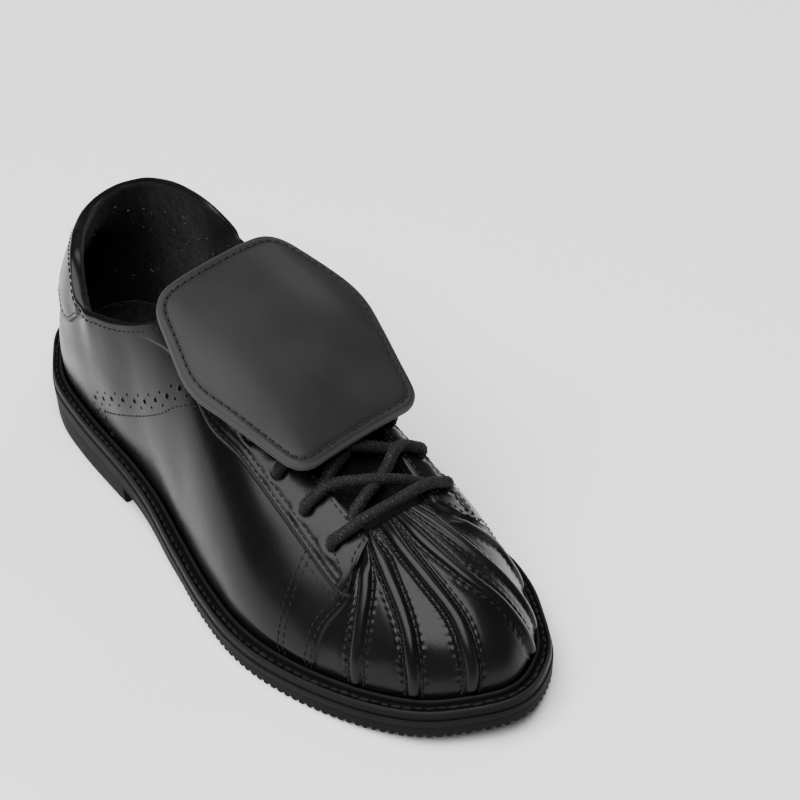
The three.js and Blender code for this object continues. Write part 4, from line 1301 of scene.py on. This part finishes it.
class SHOE_OT_welt(bpy.types.Operator):
    """Makes the welt with its bead, its channel and the stitches in it"""

    bl_idname = "shoe.welt"
    bl_label = "Welt"

    def execute(self, context):
        s = ring_places(560)
        x = outline(s)[..., 0]
        top = top_height(x)
        inner = welt_at(x) - GAP
        foot = -WELT_THICKNESS + GAP
        bead = BEAD_HEIGHT
        # Rows of the welt's profile, outer rim then channel and bead: place across, rise, band share and
        # shade share. The band share paints a highlight on the rim's rounded top and the bead's crown.
        rim = [(0.0, foot, 0.2, 0), (-0.05, -2.2, 0.1, 0), (0.0, -1.3, 0.2, 0), (0.08, -0.7, 0.8, 0),
               (0.3, -0.25, 1, 0), (0.7, 0.0, 1, 0), (1.05, -0.08, 0.7, 0), (1.3, -0.4, 0.2, 0.3),
               (RIM_WIDTH, -CHANNEL_DEPTH, 0, 1)]
        # In both lists the shade share paints shade in the channel and in the crease where the bead meets the
        # upper.
        ridge = [(BEAD_REACH, -CHANNEL_DEPTH, 0, 1), (2.05, -0.55, 0, 0.7), (1.9, 0.1, 0, 0.2),
                 (1.75, 0.75, 0.1, 0), (1.5, 0.82 * bead, 0.3, 0), (1.15, bead, 0.35, 0),
                 (0.75, 0.96 * bead, 0.25, 0), (0.4, 0.6 * bead, 0.05, 0.2), (0.15, 0.0, 0, 0.8),
                 (0.0, foot, 0, 1)]
        rows = rim + [(inner - back, rise, band_and_highlight_share, shade_share) for back, rise, band_and_highlight_share, shade_share in ridge]
        rings = [sole_ring(s, inset, top + rise) for inset, rise, band_and_highlight_share, shade_share in rows]
        faces = ring_indices(len(rings), len(s), True)
        strip = new_piece("welt_strip", np.concatenate(rings), faces, [finish_of("welt")])
        mark(strip, "pale_band_and_highlight", np.repeat([band_and_highlight_share for inset, rise, band_and_highlight_share, shade_share in rows], len(s)))
        mark(strip, "painted_shade", np.repeat([shade_share for inset, rise, band_and_highlight_share, shade_share in rows], len(s)))
        settle(strip, "welt_rubber", "welt")
        count = 1400
        fine = ring_places(count)
        x = outline(fine)[..., 0]
        middle = (RIM_WIDTH + welt_at(x) - GAP - BEAD_REACH) / 2
        bends = np.arange(0, count + 1, 10)
        random = np.random.default_rng(5)
        sway = np.interp(np.arange(count), bends, TWINE_SWAY * random.standard_normal(len(bends)))
        line = sole_ring(fine, middle + sway, top_height(x) - TWINE_DEPTH)
        line = np.concatenate((line, line[:1]))
        rows = carrier("welt_stitches", [line], [tangents(line)])
        grown(rows, stitch_tree(), {
            "Pitch": 0.0042, "Length": 0.0036, "Thread": 0.001, "Unevenness": 0.25, "Seed": 4,
            "Material": finish_of("twine")})
        settle(rows, "lace_cord")
        return {"FINISHED"}


class SHOE_OT_footbed(bpy.types.Operator):
    """Makes the footbed inside the shoe"""

    bl_idname = "shoe.footbed"
    bl_label = "Footbed"

    def execute(self, context):
        s = ring_places(240)
        x = outline(s)[..., 0]
        margin = welt_at(x) + WALL + 2 * GAP
        seat = seat_height(x) + GAP
        rings = [
            sole_ring(s, margin, seat),
            sole_ring(s, margin, seat + 0.7 * INSOLE_THICKNESS),
            sole_ring(s, margin + 0.5, seat + 0.92 * INSOLE_THICKNESS),
            sole_ring(s, margin + 1.6, seat + INSOLE_THICKNESS),
        ]
        spine = points(x, 0.0, 0.0)
        rim = rings[-1]
        for share, dish in ((0.12, 0.3), (0.3, 0.8), (0.55, 1.1), (0.8, 1.2)):
            middle = spine.copy()
            middle[..., 0] = np.clip(rim[..., 0], 24.0, SOLE_LENGTH - 32.0)
            ring = mix(rim, middle, share)
            ring[..., 2] = seat_height(ring[..., 0]) + GAP + INSOLE_THICKNESS - dish
            rings.append(ring)
        spots, faces = stacked(rings)
        bed = new_piece("footbed", spots, faces, [finish_of("lining")])
        settle(bed, "lining", "insole")
        top = np.concatenate(rings[3:])
        quads = ring_indices(len(rings) - 3, len(s), False)
        for name, density, kind in (("footbed_nap", 300000.0, "lining"), ("footbed_lint", 9000.0, "lint")):
            napped(name, top, quads, kind, {
                "Density": density, "Length": 0.0015, "Thickness": 0.00014, "Lean": 1.3, "Seed": 31})
        return {"FINISHED"}


class SHOE_OT_upper(bpy.types.Operator):
    """Makes the upper with its ribs, overlays, padded collar and fleece lining"""

    bl_idname = "shoe.upper"
    bl_label = "Upper"

    # Stretches round the sole, each with its number of columns, and the number of rows below the overlays
    SPANS = (
        (0, 0.3, 44), (0.3, 0.36, 28), (0.36, 0.6, 48), (0.6, 0.7, 26), (0.7, 0.76, 52), (0.76, 1.25, 270),
        (1.25, 1.318, 46), (1.318, 1.4, 24), (1.4, 1.64, 46), (1.64, 1.7, 28), (1.7, 2.0, 42),
    )
    LOW_ROWS = 82

    def execute(self, context):
        s = np.concatenate([np.linspace(start, end, count, endpoint=False)
                            for start, end, count in self.SPANS])
        edge = section_curves["edge"](s)
        foot = outline(s)
        section = surface(s[None], np.linspace(0, 1, 30)[:, None])
        length = np.linalg.norm(np.diff(section, axis=0), axis=-1).sum(0)
        rim = 1 - RIM_RISE / length
        low = np.linspace(0, 1, self.LOW_ROWS)[:, None] * (edge - EDGE_HALF)
        step = edge + EDGE_HALF * np.array([-0.5, 0.0, 0.5])[:, None]
        high = mix(edge + EDGE_HALF, rim, np.linspace(0, 1, 27)[:, None])
        w = np.concatenate((low, step, high))
        places = np.broadcast_to(s, w.shape)
        face = on_leather(places, w, 0.0)
        stand = foot - outward(s) * welt_at(foot[..., 0])[..., None]
        stand[..., 2] = seat_height(foot[..., 0]) + GAP
        rows = [stand, *face]
        inner_rim = inside(s, rim)
        ones = np.ones_like(s)
        crest_depth = (WALL + pad_at(s, ones) - step_at(s, ones)) / 2
        crest = surface(s, ones) - normal(s, ones) * crest_depth[..., None]
        middle = (face[-1] + inner_rim) / 2
        for angle in np.linspace(0, math.pi, 9)[1:-1]:
            rows.append(middle + (face[-1] - middle) * math.cos(angle) + (crest - middle) * math.sin(angle))
        band_rows = len(rows)
        depths = np.concatenate((np.linspace(0, 6.0, 4), np.linspace(9.0, 60, 9)))
        rows += [inside(s, np.maximum(rim - depth / length, 0.0)) for depth in depths]
        rows.append(inside(s, np.zeros_like(s)))
        under = foot - outward(s) * (welt_at(foot[..., 0]) + WALL)[..., None]
        under[..., 2] = seat_height(foot[..., 0]) + GAP
        rows.append(under)
        faces = ring_indices(len(rows), len(s), True)
        kinds = np.repeat(np.arange(len(rows)) >= band_rows - 3, len(s)).astype(int)
        kinds[-len(s):] = 0
        piece = new_piece("upper_leather", np.concatenate(rows), faces,
                          [finish_of("leather"), finish_of("lining")], kinds)
        # The overlays' edge rows are marked paler: partly the raw cut edge, partly a painted highlight along
        # it.
        edge_and_highlight_shares = np.zeros((len(rows), len(s)))
        overlay = step_at(places, np.broadcast_to(edge + EDGE_HALF, w.shape))[0]
        drop = overlay - step_at(s, edge - EDGE_HALF)
        for row, share in enumerate((0.35, 0.7, 1.0, 0.9, 0.35), self.LOW_ROWS):
            edge_and_highlight_shares[row] = share * smooth(0.3, 0.8, drop)
        mark(piece, "edge", edge_and_highlight_shares)
        settle(piece, "upper_leather", "upper")
        self.fleece(s, length, rim)
        return {"FINISHED"}

    @staticmethod
    def fleece(s, length, rim):
        """Loose nap and lint over the lining behind the collar's edge."""
        depths = np.linspace(0.5, 58, 24)
        few = s[::4]
        rows = [inside(few, np.maximum(rim - depth / length, 0.0)[::4], np.full(few.shape, 0.2))
                for depth in depths]
        columns = len(few)
        keep = side_of(few) < FACING_TOP
        quads = ring_indices(len(rows), columns, False)
        quads = quads[keep[quads[:, 0] % columns]]
        spots = np.concatenate(rows)
        quads = quads[:, ::-1]
        napped("collar_fleece", spots, quads, "lining", {
            "Density": 420000.0, "Length": 0.0017, "Thickness": 0.00013, "Lean": 1.1, "Seed": 11})
        napped("collar_lint", spots, quads, "lint", {
            "Density": 16000.0, "Length": 0.0012, "Thickness": 0.00016, "Lean": 1.5, "Seed": 23})


class SHOE_OT_stitching(bpy.types.Operator):
    """Sews the upper: the overlays, the collar, the seams and both sides of each rib"""

    bl_idname = "shoe.stitching"
    bl_label = "Stitching"

    def execute(self, context):
        sizes = context.scene.shoe_sizes
        lines = [on_leather(s, w, THREAD_LIFT) for s, w in stitch_courses()]
        for course in (PANEL_DOWN, PANEL_FORWARD):
            s, w = surface_path(course, 1.0)
            lines += [on_leather(place, w, THREAD_LIFT) for place in (s, 2 - s)]
        rows = carrier("upper_stitches", lines, [tangents(line) for line in lines])
        tree = stitch_tree()
        grown(rows, tree, {
            "Pitch": sizes.stitch_pitch, "Length": sizes.stitch_length, "Thread": sizes.thread,
            "Unevenness": 0.12, "Seed": 2, "Material": finish_of("thread")})
        settle(rows, "upper_leather")
        self.rib_rows(sizes, tree)
        return {"FINISHED"}

    @staticmethod
    def rib_rows(sizes, tree):
        """Stitches through the leather on both sides of each rib, each in a small pucker."""
        width = sizes.rib_width / MM
        shares = np.linspace(0, 1, 200)
        lines = []
        hollows = []
        faces = []
        for index, curve in enumerate(rib_curves):
            top = 0.74 if index in (0, len(rib_curves) - 1) else 0.975
            for way in (-1, 1):
                for step, kept in ((1.0, lines), (PUCKER_PITCH, hollows)):
                    reach = np.arange(2.0, rib_reach(index, np.array(top)), step)
                    w = np.interp(reach, rib_reach(index, shares), shares)
                    s = curve(w) + way * 1.34 * rib_half(index, w, width)
                    kept.append(on_leather(s, w, PRICK_LIFT))
                faces.append(normal(s, w))
        rows = carrier("rib_stitches", lines, [tangents(line) for line in lines])
        grown(rows, tree, {
            "Pitch": PUCKER_PITCH * MM, "Length": 0.0021, "Thread": sizes.thread, "Unevenness": 0.15,
            "Seed": 9, "Material": finish_of("thread")})
        settle(rows, "upper_leather")
        spots = np.concatenate(hollows)
        # Each stitch hole is a dark disc of painted shade.
        pierced("rib_stitch_holes", spots, np.concatenate(faces), np.full(len(spots), 0.46), 0.1, "leather")


class SHOE_OT_perforations(bpy.types.Operator):
    """Punches the brogue holes behind the quarter and the eyelets, as discs of painted shade in leather lips
    """

    bl_idname = "shoe.perforations"
    bl_label = "Punched holes"

    def execute(self, context):
        pitch = context.scene.shoe_sizes.hole_pitch / MM
        spots = []
        facing = []
        radii = []
        for course, first in ((HOLES_FORWARD, 0.0), (HOLES_DOWN, 0.75 * pitch)):
            for offset, radius, start in ((0.0, LARGE_HOLE, first), (HOLE_SPREAD, SMALL_HOLE, pitch / 2),
                                          (-HOLE_SPREAD, SMALL_HOLE, pitch / 2)):
                s, w = hole_row(course, pitch, start, offset)
                for place in (s, 2 - s):
                    spots.append(on_leather(place, w, 0.0))
                    facing.append(normal(place, w))
                    radii += [radius] * len(w)
        for outer_side in (True, False):
            for k in range(EYELET_COUNT):
                s, w = (np.array([value]) for value in eyelet_at(outer_side, k))
                spots.append(outside(s, w, np.array([-0.6])))
                facing.append(normal(s, w))
                radii.append(EYELET_RADIUS)
        pierced("punched_holes", np.concatenate(spots), np.concatenate(facing), radii, 0.12, "leather")
        return {"FINISHED"}


FLAP_INWARD = unit(np.array([-0.42, 0.0, -0.9]))


def flap_point(u, v, depth):
    """A point of the flap's upper face: u along it from the back, v across it towards the inner side."""
    height = flap_spine(np.clip(u / FLAP_LENGTH, 0, 1)) * INSTEP_HEIGHT
    droop = FLAP_DROOP * np.abs(v / (FLAP_WIDTH / 2)) ** 3
    x = u * math.cos(FLAP_TURN) - v * math.sin(FLAP_TURN) + FLAP_BACK[0] * SOLE_LENGTH
    y = u * math.sin(FLAP_TURN) + v * math.cos(FLAP_TURN) + FLAP_BACK[1] * float(width_at(FLAP_BACK[0]))
    return points(x, y, height - droop) + FLAP_INWARD * np.asarray(depth, float)[..., None]


def flap_plan(count):
    """Evenly spaced points round the flap's six-sided plan with rounded corners, and the ways outward."""
    side = [(0, -FLAP_BACK_WIDTH / 2), (FLAP_WIDEST * FLAP_LENGTH, -FLAP_WIDTH / 2),
            (FLAP_LENGTH, -FLAP_FRONT_WIDTH / 2)]
    corners = np.array(side + [(u, -v) for u, v in reversed(side)], float)
    rounded = []
    for i, corner in enumerate(corners):
        before = corner + unit(corners[i - 1] - corner) * FLAP_CORNER
        after = corner + unit(corners[(i + 1) % len(corners)] - corner) * FLAP_CORNER
        for t in np.linspace(0, 1, 16):
            rounded.append((1 - t) ** 2 * before + 2 * t * (1 - t) * corner + t * t * after)
    loop = np.array(rounded + rounded[:1])
    gone = travelled(loop)
    even = np.linspace(0, gone[-1], count, endpoint=False)
    plan = np.stack([np.interp(even, gone, loop[:, axis]) for axis in range(2)], axis=1)
    for smoothing in range(6):
        plan = 0.5 * plan + 0.25 * (np.roll(plan, 1, axis=0) + np.roll(plan, -1, axis=0))
    along = unit(np.roll(plan, -1, axis=0) - np.roll(plan, 1, axis=0))
    out = np.stack((along[:, 1], -along[:, 0]), axis=1)
    return plan, out


def flap_lift(u, v):
    """Soft unevenness of the flap's face in mm: a slight curl of its front corners and long shallow waves."""
    bend = 0.5 * np.sin((u + 0.5 * v) / 19.0) + 0.3 * np.sin((v - 0.4 * u) / 13.0 + 0.8)
    curl = 0.8 * smooth(0.75, 1.0, u / FLAP_LENGTH) * smooth(10, 28, np.abs(v))
    return bend * 0.6 + curl


class SHOE_OT_flap(bpy.types.Operator):
    """Makes the leather flap over the laces, sewn all round"""

    bl_idname = "shoe.flap"
    bl_label = "Flap"

    def execute(self, context):
        plan, out = flap_plan(420)
        centre = np.array([FLAP_LENGTH / 2, 0.0])

        def ring(inset, size, depth):
            """A ring inside the flap's plan, then drawn in to a size, at a depth below the face."""
            at = centre + (plan - out * inset - centre) * size
            u, v = at[:, 0], at[:, 1]
            return flap_point(u, v, depth * ones - flap_lift(u, v))

        def dip(inset):
            """How far the face lies below its full height: rolled at the edge and drawn in at the seam."""
            rolled = 0.5 * (1 - smooth(0.0, 1.3, inset)) ** 2
            return rolled + 0.32 * bell(inset - 2.9, 0.7) - 0.1 * smooth(3.5, 8.0, inset)

        thick = FLAP_THICKNESS
        ones = np.ones(len(plan))
        rings = [ring(8.0, size, thick) for size in (0.04, 0.3, 0.6, 0.85)]
        rings += [ring(inset, 1.0, thick - 0.3 * bell(inset - FLAP_SEAM, 0.75)) for inset in (6.0, 3.0, 1.2)]
        # Edge marks: the cut edge and the rolled rim of the face are made paler, partly the raw edge's own
        # colour and partly a painted highlight.
        edge = [0.0] * len(rings)
        for depth, inset in ((0.96, 0.35), (0.88, 0.08), (0.76, 0.0), (0.62, 0.0), (0.56, 0.16), (0.5, 0.3),
                             (0.44, 0.16), (0.38, 0.0), (0.26, 0.0)):
            rings.append(ring(inset, 1.0, depth * thick))
            edge.append(0.9 if depth > 0.6 or depth < 0.4 else 0.4)
        for inset in (0.25, 0.7, 1.2, 1.9, 2.5, 2.9, 3.3, 3.8, 4.5, 5.5, 6.8, 8.0):
            rings.append(ring(inset, 1.0, dip(inset)))
            edge.append(0.6 * float(1 - smooth(0.3, 1.3, inset)))
        for size in np.linspace(1, 0.04, 26)[1:]:
            rings.append(ring(8.0, size, dip(8.0) - 0.25 * (1 - size)))
            edge.append(0.0)
        spots, faces = stacked(rings)
        piece = new_piece("tongue_flap", spots, faces, [finish_of("flap")])
        mark(piece, "edge", np.repeat(edge, len(plan)))
        settle(piece, "flap_leather", "flap")
        line = ring(FLAP_SEAM, 1.0, 0.3)
        line = np.concatenate((line, line[:1]))
        rows = carrier("flap_stitches", [line], [tangents(line)])
        grown(rows, stitch_tree(), {
            "Pitch": FLAP_PITCH * MM, "Length": 0.0025, "Thread": 0.0009, "Unevenness": 0.1, "Seed": 6,
            "Material": finish_of("thread")})
        settle(rows, "flap_leather")
        gone = travelled(line)
        between = np.arange(0, gone[-1], FLAP_PITCH) + FLAP_PITCH / 2
        sunk = np.stack([np.interp(between, gone, line[:, axis]) for axis in range(3)], axis=1)
        up = np.broadcast_to(-FLAP_INWARD, sunk.shape)
        # Holes between the stitches: dark discs of painted shade.
        pierced("flap_stitch_holes", sunk + PRICK_LIFT * up, up, np.full(len(sunk), 0.6), 0.1, "flap")
        return {"FINISHED"}


class SHOE_OT_tongue(bpy.types.Operator):
    """Makes the tongue under the eyestays"""

    bl_idname = "shoe.tongue"
    bl_label = "Tongue"

    def execute(self, context):
        rows = self.guide_rows()
        grid = self.fine_grid(rows, 70, 56)
        offset = unit(np.array([-0.38, 0.0, -0.92])) * TONGUE_THICKNESS
        below = grid + offset
        along, across = grid.shape[:2]
        loop = np.concatenate((grid, below[:, ::-1]), axis=1)
        spots = loop.reshape(-1, 3)
        faces = [tuple(face) for face in ring_indices(along, 2 * across, False)]
        for start, flip in ((0, True), ((along - 1) * 2 * across, False)):
            for i in range(across - 1):
                quad = (start + i, start + i + 1, start + 2 * across - 2 - i, start + 2 * across - 1 - i)
                faces.append(quad[::-1] if flip else quad)
        piece = new_piece("tongue_leather", spots, faces, [finish_of("leather")])
        turned_outward(piece)
        piece.data.set_sharp_from_angle(angle=math.radians(50))
        settle(piece, "upper_leather", "tongue")
        up = np.array([0.38, 0.0, 0.92]) * PRICK_LIFT
        lines = [grid[20:, 14] + up, grid[20:, 41] + up, grid[20, 14:42] + up]
        sewn = carrier("tongue_stitches", lines, [tangents(line) for line in lines])
        sizes = context.scene.shoe_sizes
        grown(sewn, stitch_tree(), {
            "Pitch": sizes.stitch_pitch, "Length": sizes.stitch_length, "Thread": sizes.thread, "Seed": 8,
            "Material": finish_of("thread")})
        settle(sewn, "upper_leather")
        return {"FINISHED"}

    @staticmethod
    def guide_rows():
        """Points across the tongue, row after row from the throat to its end under the flap."""

        def clear(s, w):
            """A point just inside the upper's wall."""
            return inside(np.array(float(s)), np.array(float(w)), np.array(TONGUE_GAP))

        rows = [[clear(s, 0.9) for s in (0.775, 0.84, 0.9, 0.98, 1.08, 1.17, 1.24)]]
        for share in (0, 0.2, 0.4, 0.6, 0.8, 1):
            outer_place = mix(OUTER_FRONT, FACING_TOP, share)
            inner_place = 2 - mix(INNER_FRONT, FACING_TOP, share)
            left = clear(outer_place, 0.965)
            right = clear(inner_place, 0.965)
            middle = [mix(left, right, at) + np.array([0, 0, TONGUE_CROWN * 4 * at * (1 - at)])
                      for at in (0.28, 0.5, 0.72)]
            tuck = mix(0.87, 0.95, float(smooth(0.6, 1.0, share)))
            rows.append([clear(outer_place, tuck), left, *middle, right, clear(inner_place, tuck)])
        last = rows[-1]
        top = []
        for spot in last:
            across = 0.75 * (spot[1] - last[3][1]) + TONGUE_OFFSET
            top.append(flap_point(np.array(0.06 * FLAP_LENGTH), np.array(across),
                                  np.array(FLAP_THICKNESS + 2 * GAP)))
        rows.append(top)
        return np.array(rows)

    @staticmethod
    def fine_grid(rows, along, across):
        """A denser grid through the guide rows."""
        down = np.arange(rows.shape[0])
        over = np.arange(rows.shape[1])
        fine_down = np.linspace(0, down[-1], along)
        fine_over = np.linspace(0, over[-1], across)
        wide = np.empty((rows.shape[0], across, 3))
        for i in range(rows.shape[0]):
            for axis in range(3):
                wide[i, :, axis] = TableCurve(over, rows[i, :, axis])(fine_over)
        full = np.empty((along, across, 3))
        for j in range(across):
            for axis in range(3):
                full[:, j, axis] = TableCurve(down, wide[:, j, axis])(fine_down)
        return full


class SHOE_OT_laces(bpy.types.Operator):
    """Threads the braided lace through the eyelets"""

    bl_idname = "shoe.laces"
    bl_label = "Laces"

    # Share of the section at which the cord leaves the facing
    LIP = 0.98

    def execute(self, context):
        self.radius = context.scene.shoe_sizes.lace_width / MM / 2
        self.make("lace_bar_cord", [self.bar()], "lace_bar")
        for k, name in ((1, "front"), (2, "middle"), (3, "top")):
            strands = [self.strand(True, k), self.strand(False, k)]
            self.make(f"lace_cord_{name}", strands, f"lace_crossing_{name}")
        return {"FINISHED"}

    def on_top(self, s, w, more=0.0):
        """Middle of the cord where it lies on the leather."""
        clear = np.array(self.radius + 0.15 + more)
        return outside(np.array(float(s)), np.array(float(w)), clear)

    def into_hole(self, s, w):
        """The cord's end, down through its eyelet."""
        return [self.on_top(s, w, -2.1 * self.radius - 3.4), self.on_top(s, w, -2.1 * self.radius)]

    def bar(self):
        """The straight bar between the front eyelets."""
        halves = []
        for outer_side in (True, False):
            s, w = eyelet_at(outer_side, 0)
            seam = OUTER_FRONT if outer_side else 2 - INNER_FRONT
            leaving = self.on_top(mix(s, seam, 0.03), mix(w, self.LIP, 0.14), -0.3)
            rising = self.on_top(mix(s, seam, 0.17), mix(w, self.LIP, 0.5))
            lip = self.on_top(mix(s, seam, 0.33), self.LIP)
            halves.append([*self.into_hole(s, w), leaving, rising, lip])
        middle = mix(halves[0][-1], halves[1][-1], 0.5) + np.array([0, 0, TONGUE_CROWN])
        return [*halves[0], middle, *halves[1][::-1]]

    def strand(self, outer_side, k):
        """One leg of a crossing, from its eyelet down under the flap or the leg before."""
        from_s, from_w = eyelet_at(outer_side, k)
        to_s, to_w = eyelet_at(not outer_side, k - 1)
        start = self.on_top(from_s, from_w)
        goal = self.on_top(to_s, to_w)
        lip_place = mix(from_s, eyelet_at(outer_side, k - 1)[0], 0.25)
        lip = self.on_top(lip_place, self.LIP)
        leaving = self.on_top(mix(from_s, lip_place, 0.14), mix(from_w, self.LIP, 0.14), -0.3)
        rising = self.on_top(mix(from_s, lip_place, 0.5), mix(from_w, self.LIP, 0.5))
        edge_height = self.on_top(mix(to_s, eyelet_at(not outer_side, k)[0], 0.25), 1)[2]
        end = mix(start, goal, 0.6)
        end[2] = edge_height - self.radius / 2
        tucked = mix(start, goal, 0.7)
        tucked[2] = edge_height - 1.5 * self.radius
        hidden = mix(start, goal, 0.8)
        hidden[2] = edge_height - 2.9 * self.radius
        rise = self.radius / 2 if outer_side else -self.radius / 2
        middle = mix(lip, end, 0.5) + np.array([0, 0, rise])
        return [*self.into_hole(from_s, from_w), leaving, rising, lip, middle, end, tucked, hidden]

    def make(self, name, strands, node):
        """A lace node's cords as one piece, closed at their ends."""
        spots = []
        faces = []
        for knots in strands:
            path = even_path(knots, CORD_STEP)
            start = len(spots)
            spots += self.braided(path).reshape(-1, 3).tolist()
            body = ring_indices(len(path), CORD_SIDES, False) + start
            faces += [tuple(face) for face in body]
            faces.append(tuple(range(start + CORD_SIDES - 1, start - 1, -1)))
            last = start + (len(path) - 1) * CORD_SIDES
            faces.append(tuple(range(last, last + CORD_SIDES)))
        piece = new_piece(name, spots, faces, [finish_of("cord")])
        turned_outward(piece)
        settle(piece, "lace_cord", node)

    def braided(self, path):
        """Rings along a path whose radius follows the strands of a braid."""
        along = tangents(path)
        side = np.empty_like(path)
        side[0] = unit(np.cross(along[0], np.array([0.0, 0.3, 1.0])))
        for i in range(1, len(path)):
            side[i] = unit(side[i - 1] - along[i] * np.dot(side[i - 1], along[i]))
        other = np.cross(along, side)
        gone = np.arange(len(path)) * CORD_STEP
        angle = 2 * np.pi * np.arange(CORD_SIDES) / CORD_SIDES
        turn = 2 * np.pi * gone[:, None] / BRAID_PITCH
        raised = np.abs(np.cos(4 * angle[None] + turn) * np.cos(4 * angle[None] - turn)) ** 0.6
        radius = self.radius * (0.84 + 0.18 * raised)
        ends = np.sqrt(np.clip(1 - (1 - np.minimum(gone, gone[::-1]) / 0.6).clip(0) ** 2, 0.05, 1))
        radius = radius * ends[:, None]
        return (path[:, None] + side[:, None] * (np.cos(angle)[None] * radius)[..., None]
                + other[:, None] * (np.sin(angle)[None] * radius)[..., None])


class SHOE_OT_stage(bpy.types.Operator):
    """Sets up the floor, the soft studio light and the camera"""

    bl_idname = "shoe.stage"
    bl_label = "Stage"

    def execute(self, context):
        scene = context.scene
        mesh = bpy.data.meshes.new("floor")
        corners = [(x * FLOOR_HALF, y * FLOOR_HALF, 0) for x, y in ((-1, -1), (1, -1), (1, 1), (-1, 1))]
        mesh.from_pydata(corners, [], [(0, 1, 2, 3)])
        mesh.materials.append(finish_of("floor"))
        floor = bpy.data.objects.new("floor", mesh)
        scene.collection.objects.link(floor)
        world = bpy.data.worlds.new("studio")
        world.use_nodes = True
        sky = world.node_tree.nodes["Background"]
        sky.inputs["Color"].default_value = SKY_COLOUR
        sky.inputs["Strength"].default_value = SKY_STRENGTH
        scene.world = world
        for softbox in SOFTBOXES:
            self.panel(*softbox)
        self.camera(scene)
        return {"FINISHED"}

    @staticmethod
    def panel(name, place, width, height, power):
        """A rectangular light that faces the shoe."""
        light = bpy.data.lights.new(name, "AREA")
        light.shape = "RECTANGLE"
        light.size = width
        light.size_y = height
        light.energy = power
        lamp = bpy.data.objects.new(name, light)
        lamp.location = place
        lamp.rotation_euler = (Vector(place) - Vector((0, 0, 0.05))).to_track_quat("Z", "Y").to_euler()
        bpy.context.scene.collection.objects.link(lamp)

    @staticmethod
    def camera(scene):
        """A long lens above the toe on the outer side, turned a little."""
        azimuth, elevation, roll = (math.radians(angle) for angle in CAMERA_ANGLES)
        target = Vector(framed(CAMERA_TARGET))
        back = Vector((math.sin(azimuth) * math.cos(elevation), -math.cos(azimuth) * math.cos(elevation),
                       math.sin(elevation)))
        right = Vector((math.cos(azimuth), math.sin(azimuth), 0.0))
        up = back.cross(right)
        turned_right = right * math.cos(roll) + up * math.sin(roll)
        turned_up = up * math.cos(roll) - right * math.sin(roll)
        data = bpy.data.cameras.new("camera")
        data.sensor_width = SENSOR_WIDTH
        data.lens = CAMERA_LENS
        camera = bpy.data.objects.new("camera", data)
        axes = Matrix((turned_right, turned_up, back)).transposed().to_4x4()
        axes.translation = target + back * (CAMERA_DISTANCE * MM)
        camera.matrix_world = axes
        scene.collection.objects.link(camera)
        scene.camera = camera


class SHOE_PT_panel(bpy.types.Panel):
    """Lists the shoe's sizes, colours and pieces"""

    bl_label = "Derby shoe"
    bl_idname = "SHOE_PT_panel"
    bl_space_type = "VIEW_3D"
    bl_region_type = "UI"
    bl_category = "Shoe"

    def draw(self, context):
        column = self.layout.column()
        for group in (context.scene.shoe_sizes, context.scene.shoe_colours):
            for name in group.bl_rna.properties.keys():
                if name not in ("rna_type", "name"):
                    column.prop(group, name)
        for step in STEPS:
            column.operator(step.bl_idname)


STEPS = (SHOE_OT_stage, SHOE_OT_outsole, SHOE_OT_welt, SHOE_OT_footbed, SHOE_OT_upper, SHOE_OT_stitching,
         SHOE_OT_perforations, SHOE_OT_tongue, SHOE_OT_flap, SHOE_OT_laces)
CLASSES = (ShoeSizes, ShoeColours, *STEPS, SHOE_PT_panel)


def register():
    for kind in CLASSES:
        bpy.utils.register_class(kind)
    bpy.types.Scene.shoe_sizes = bpy.props.PointerProperty(type=ShoeSizes)
    bpy.types.Scene.shoe_colours = bpy.props.PointerProperty(type=ShoeColours)


def unregister():
    del bpy.types.Scene.shoe_colours
    del bpy.types.Scene.shoe_sizes
    for kind in reversed(CLASSES):
        bpy.utils.unregister_class(kind)


def main():
    """Makes the whole shoe and its stage."""
    register()
    for step in STEPS:
        group, name = step.bl_idname.split(".")
        getattr(getattr(bpy.ops, group), name)()


if __name__ == "__main__":
    main()
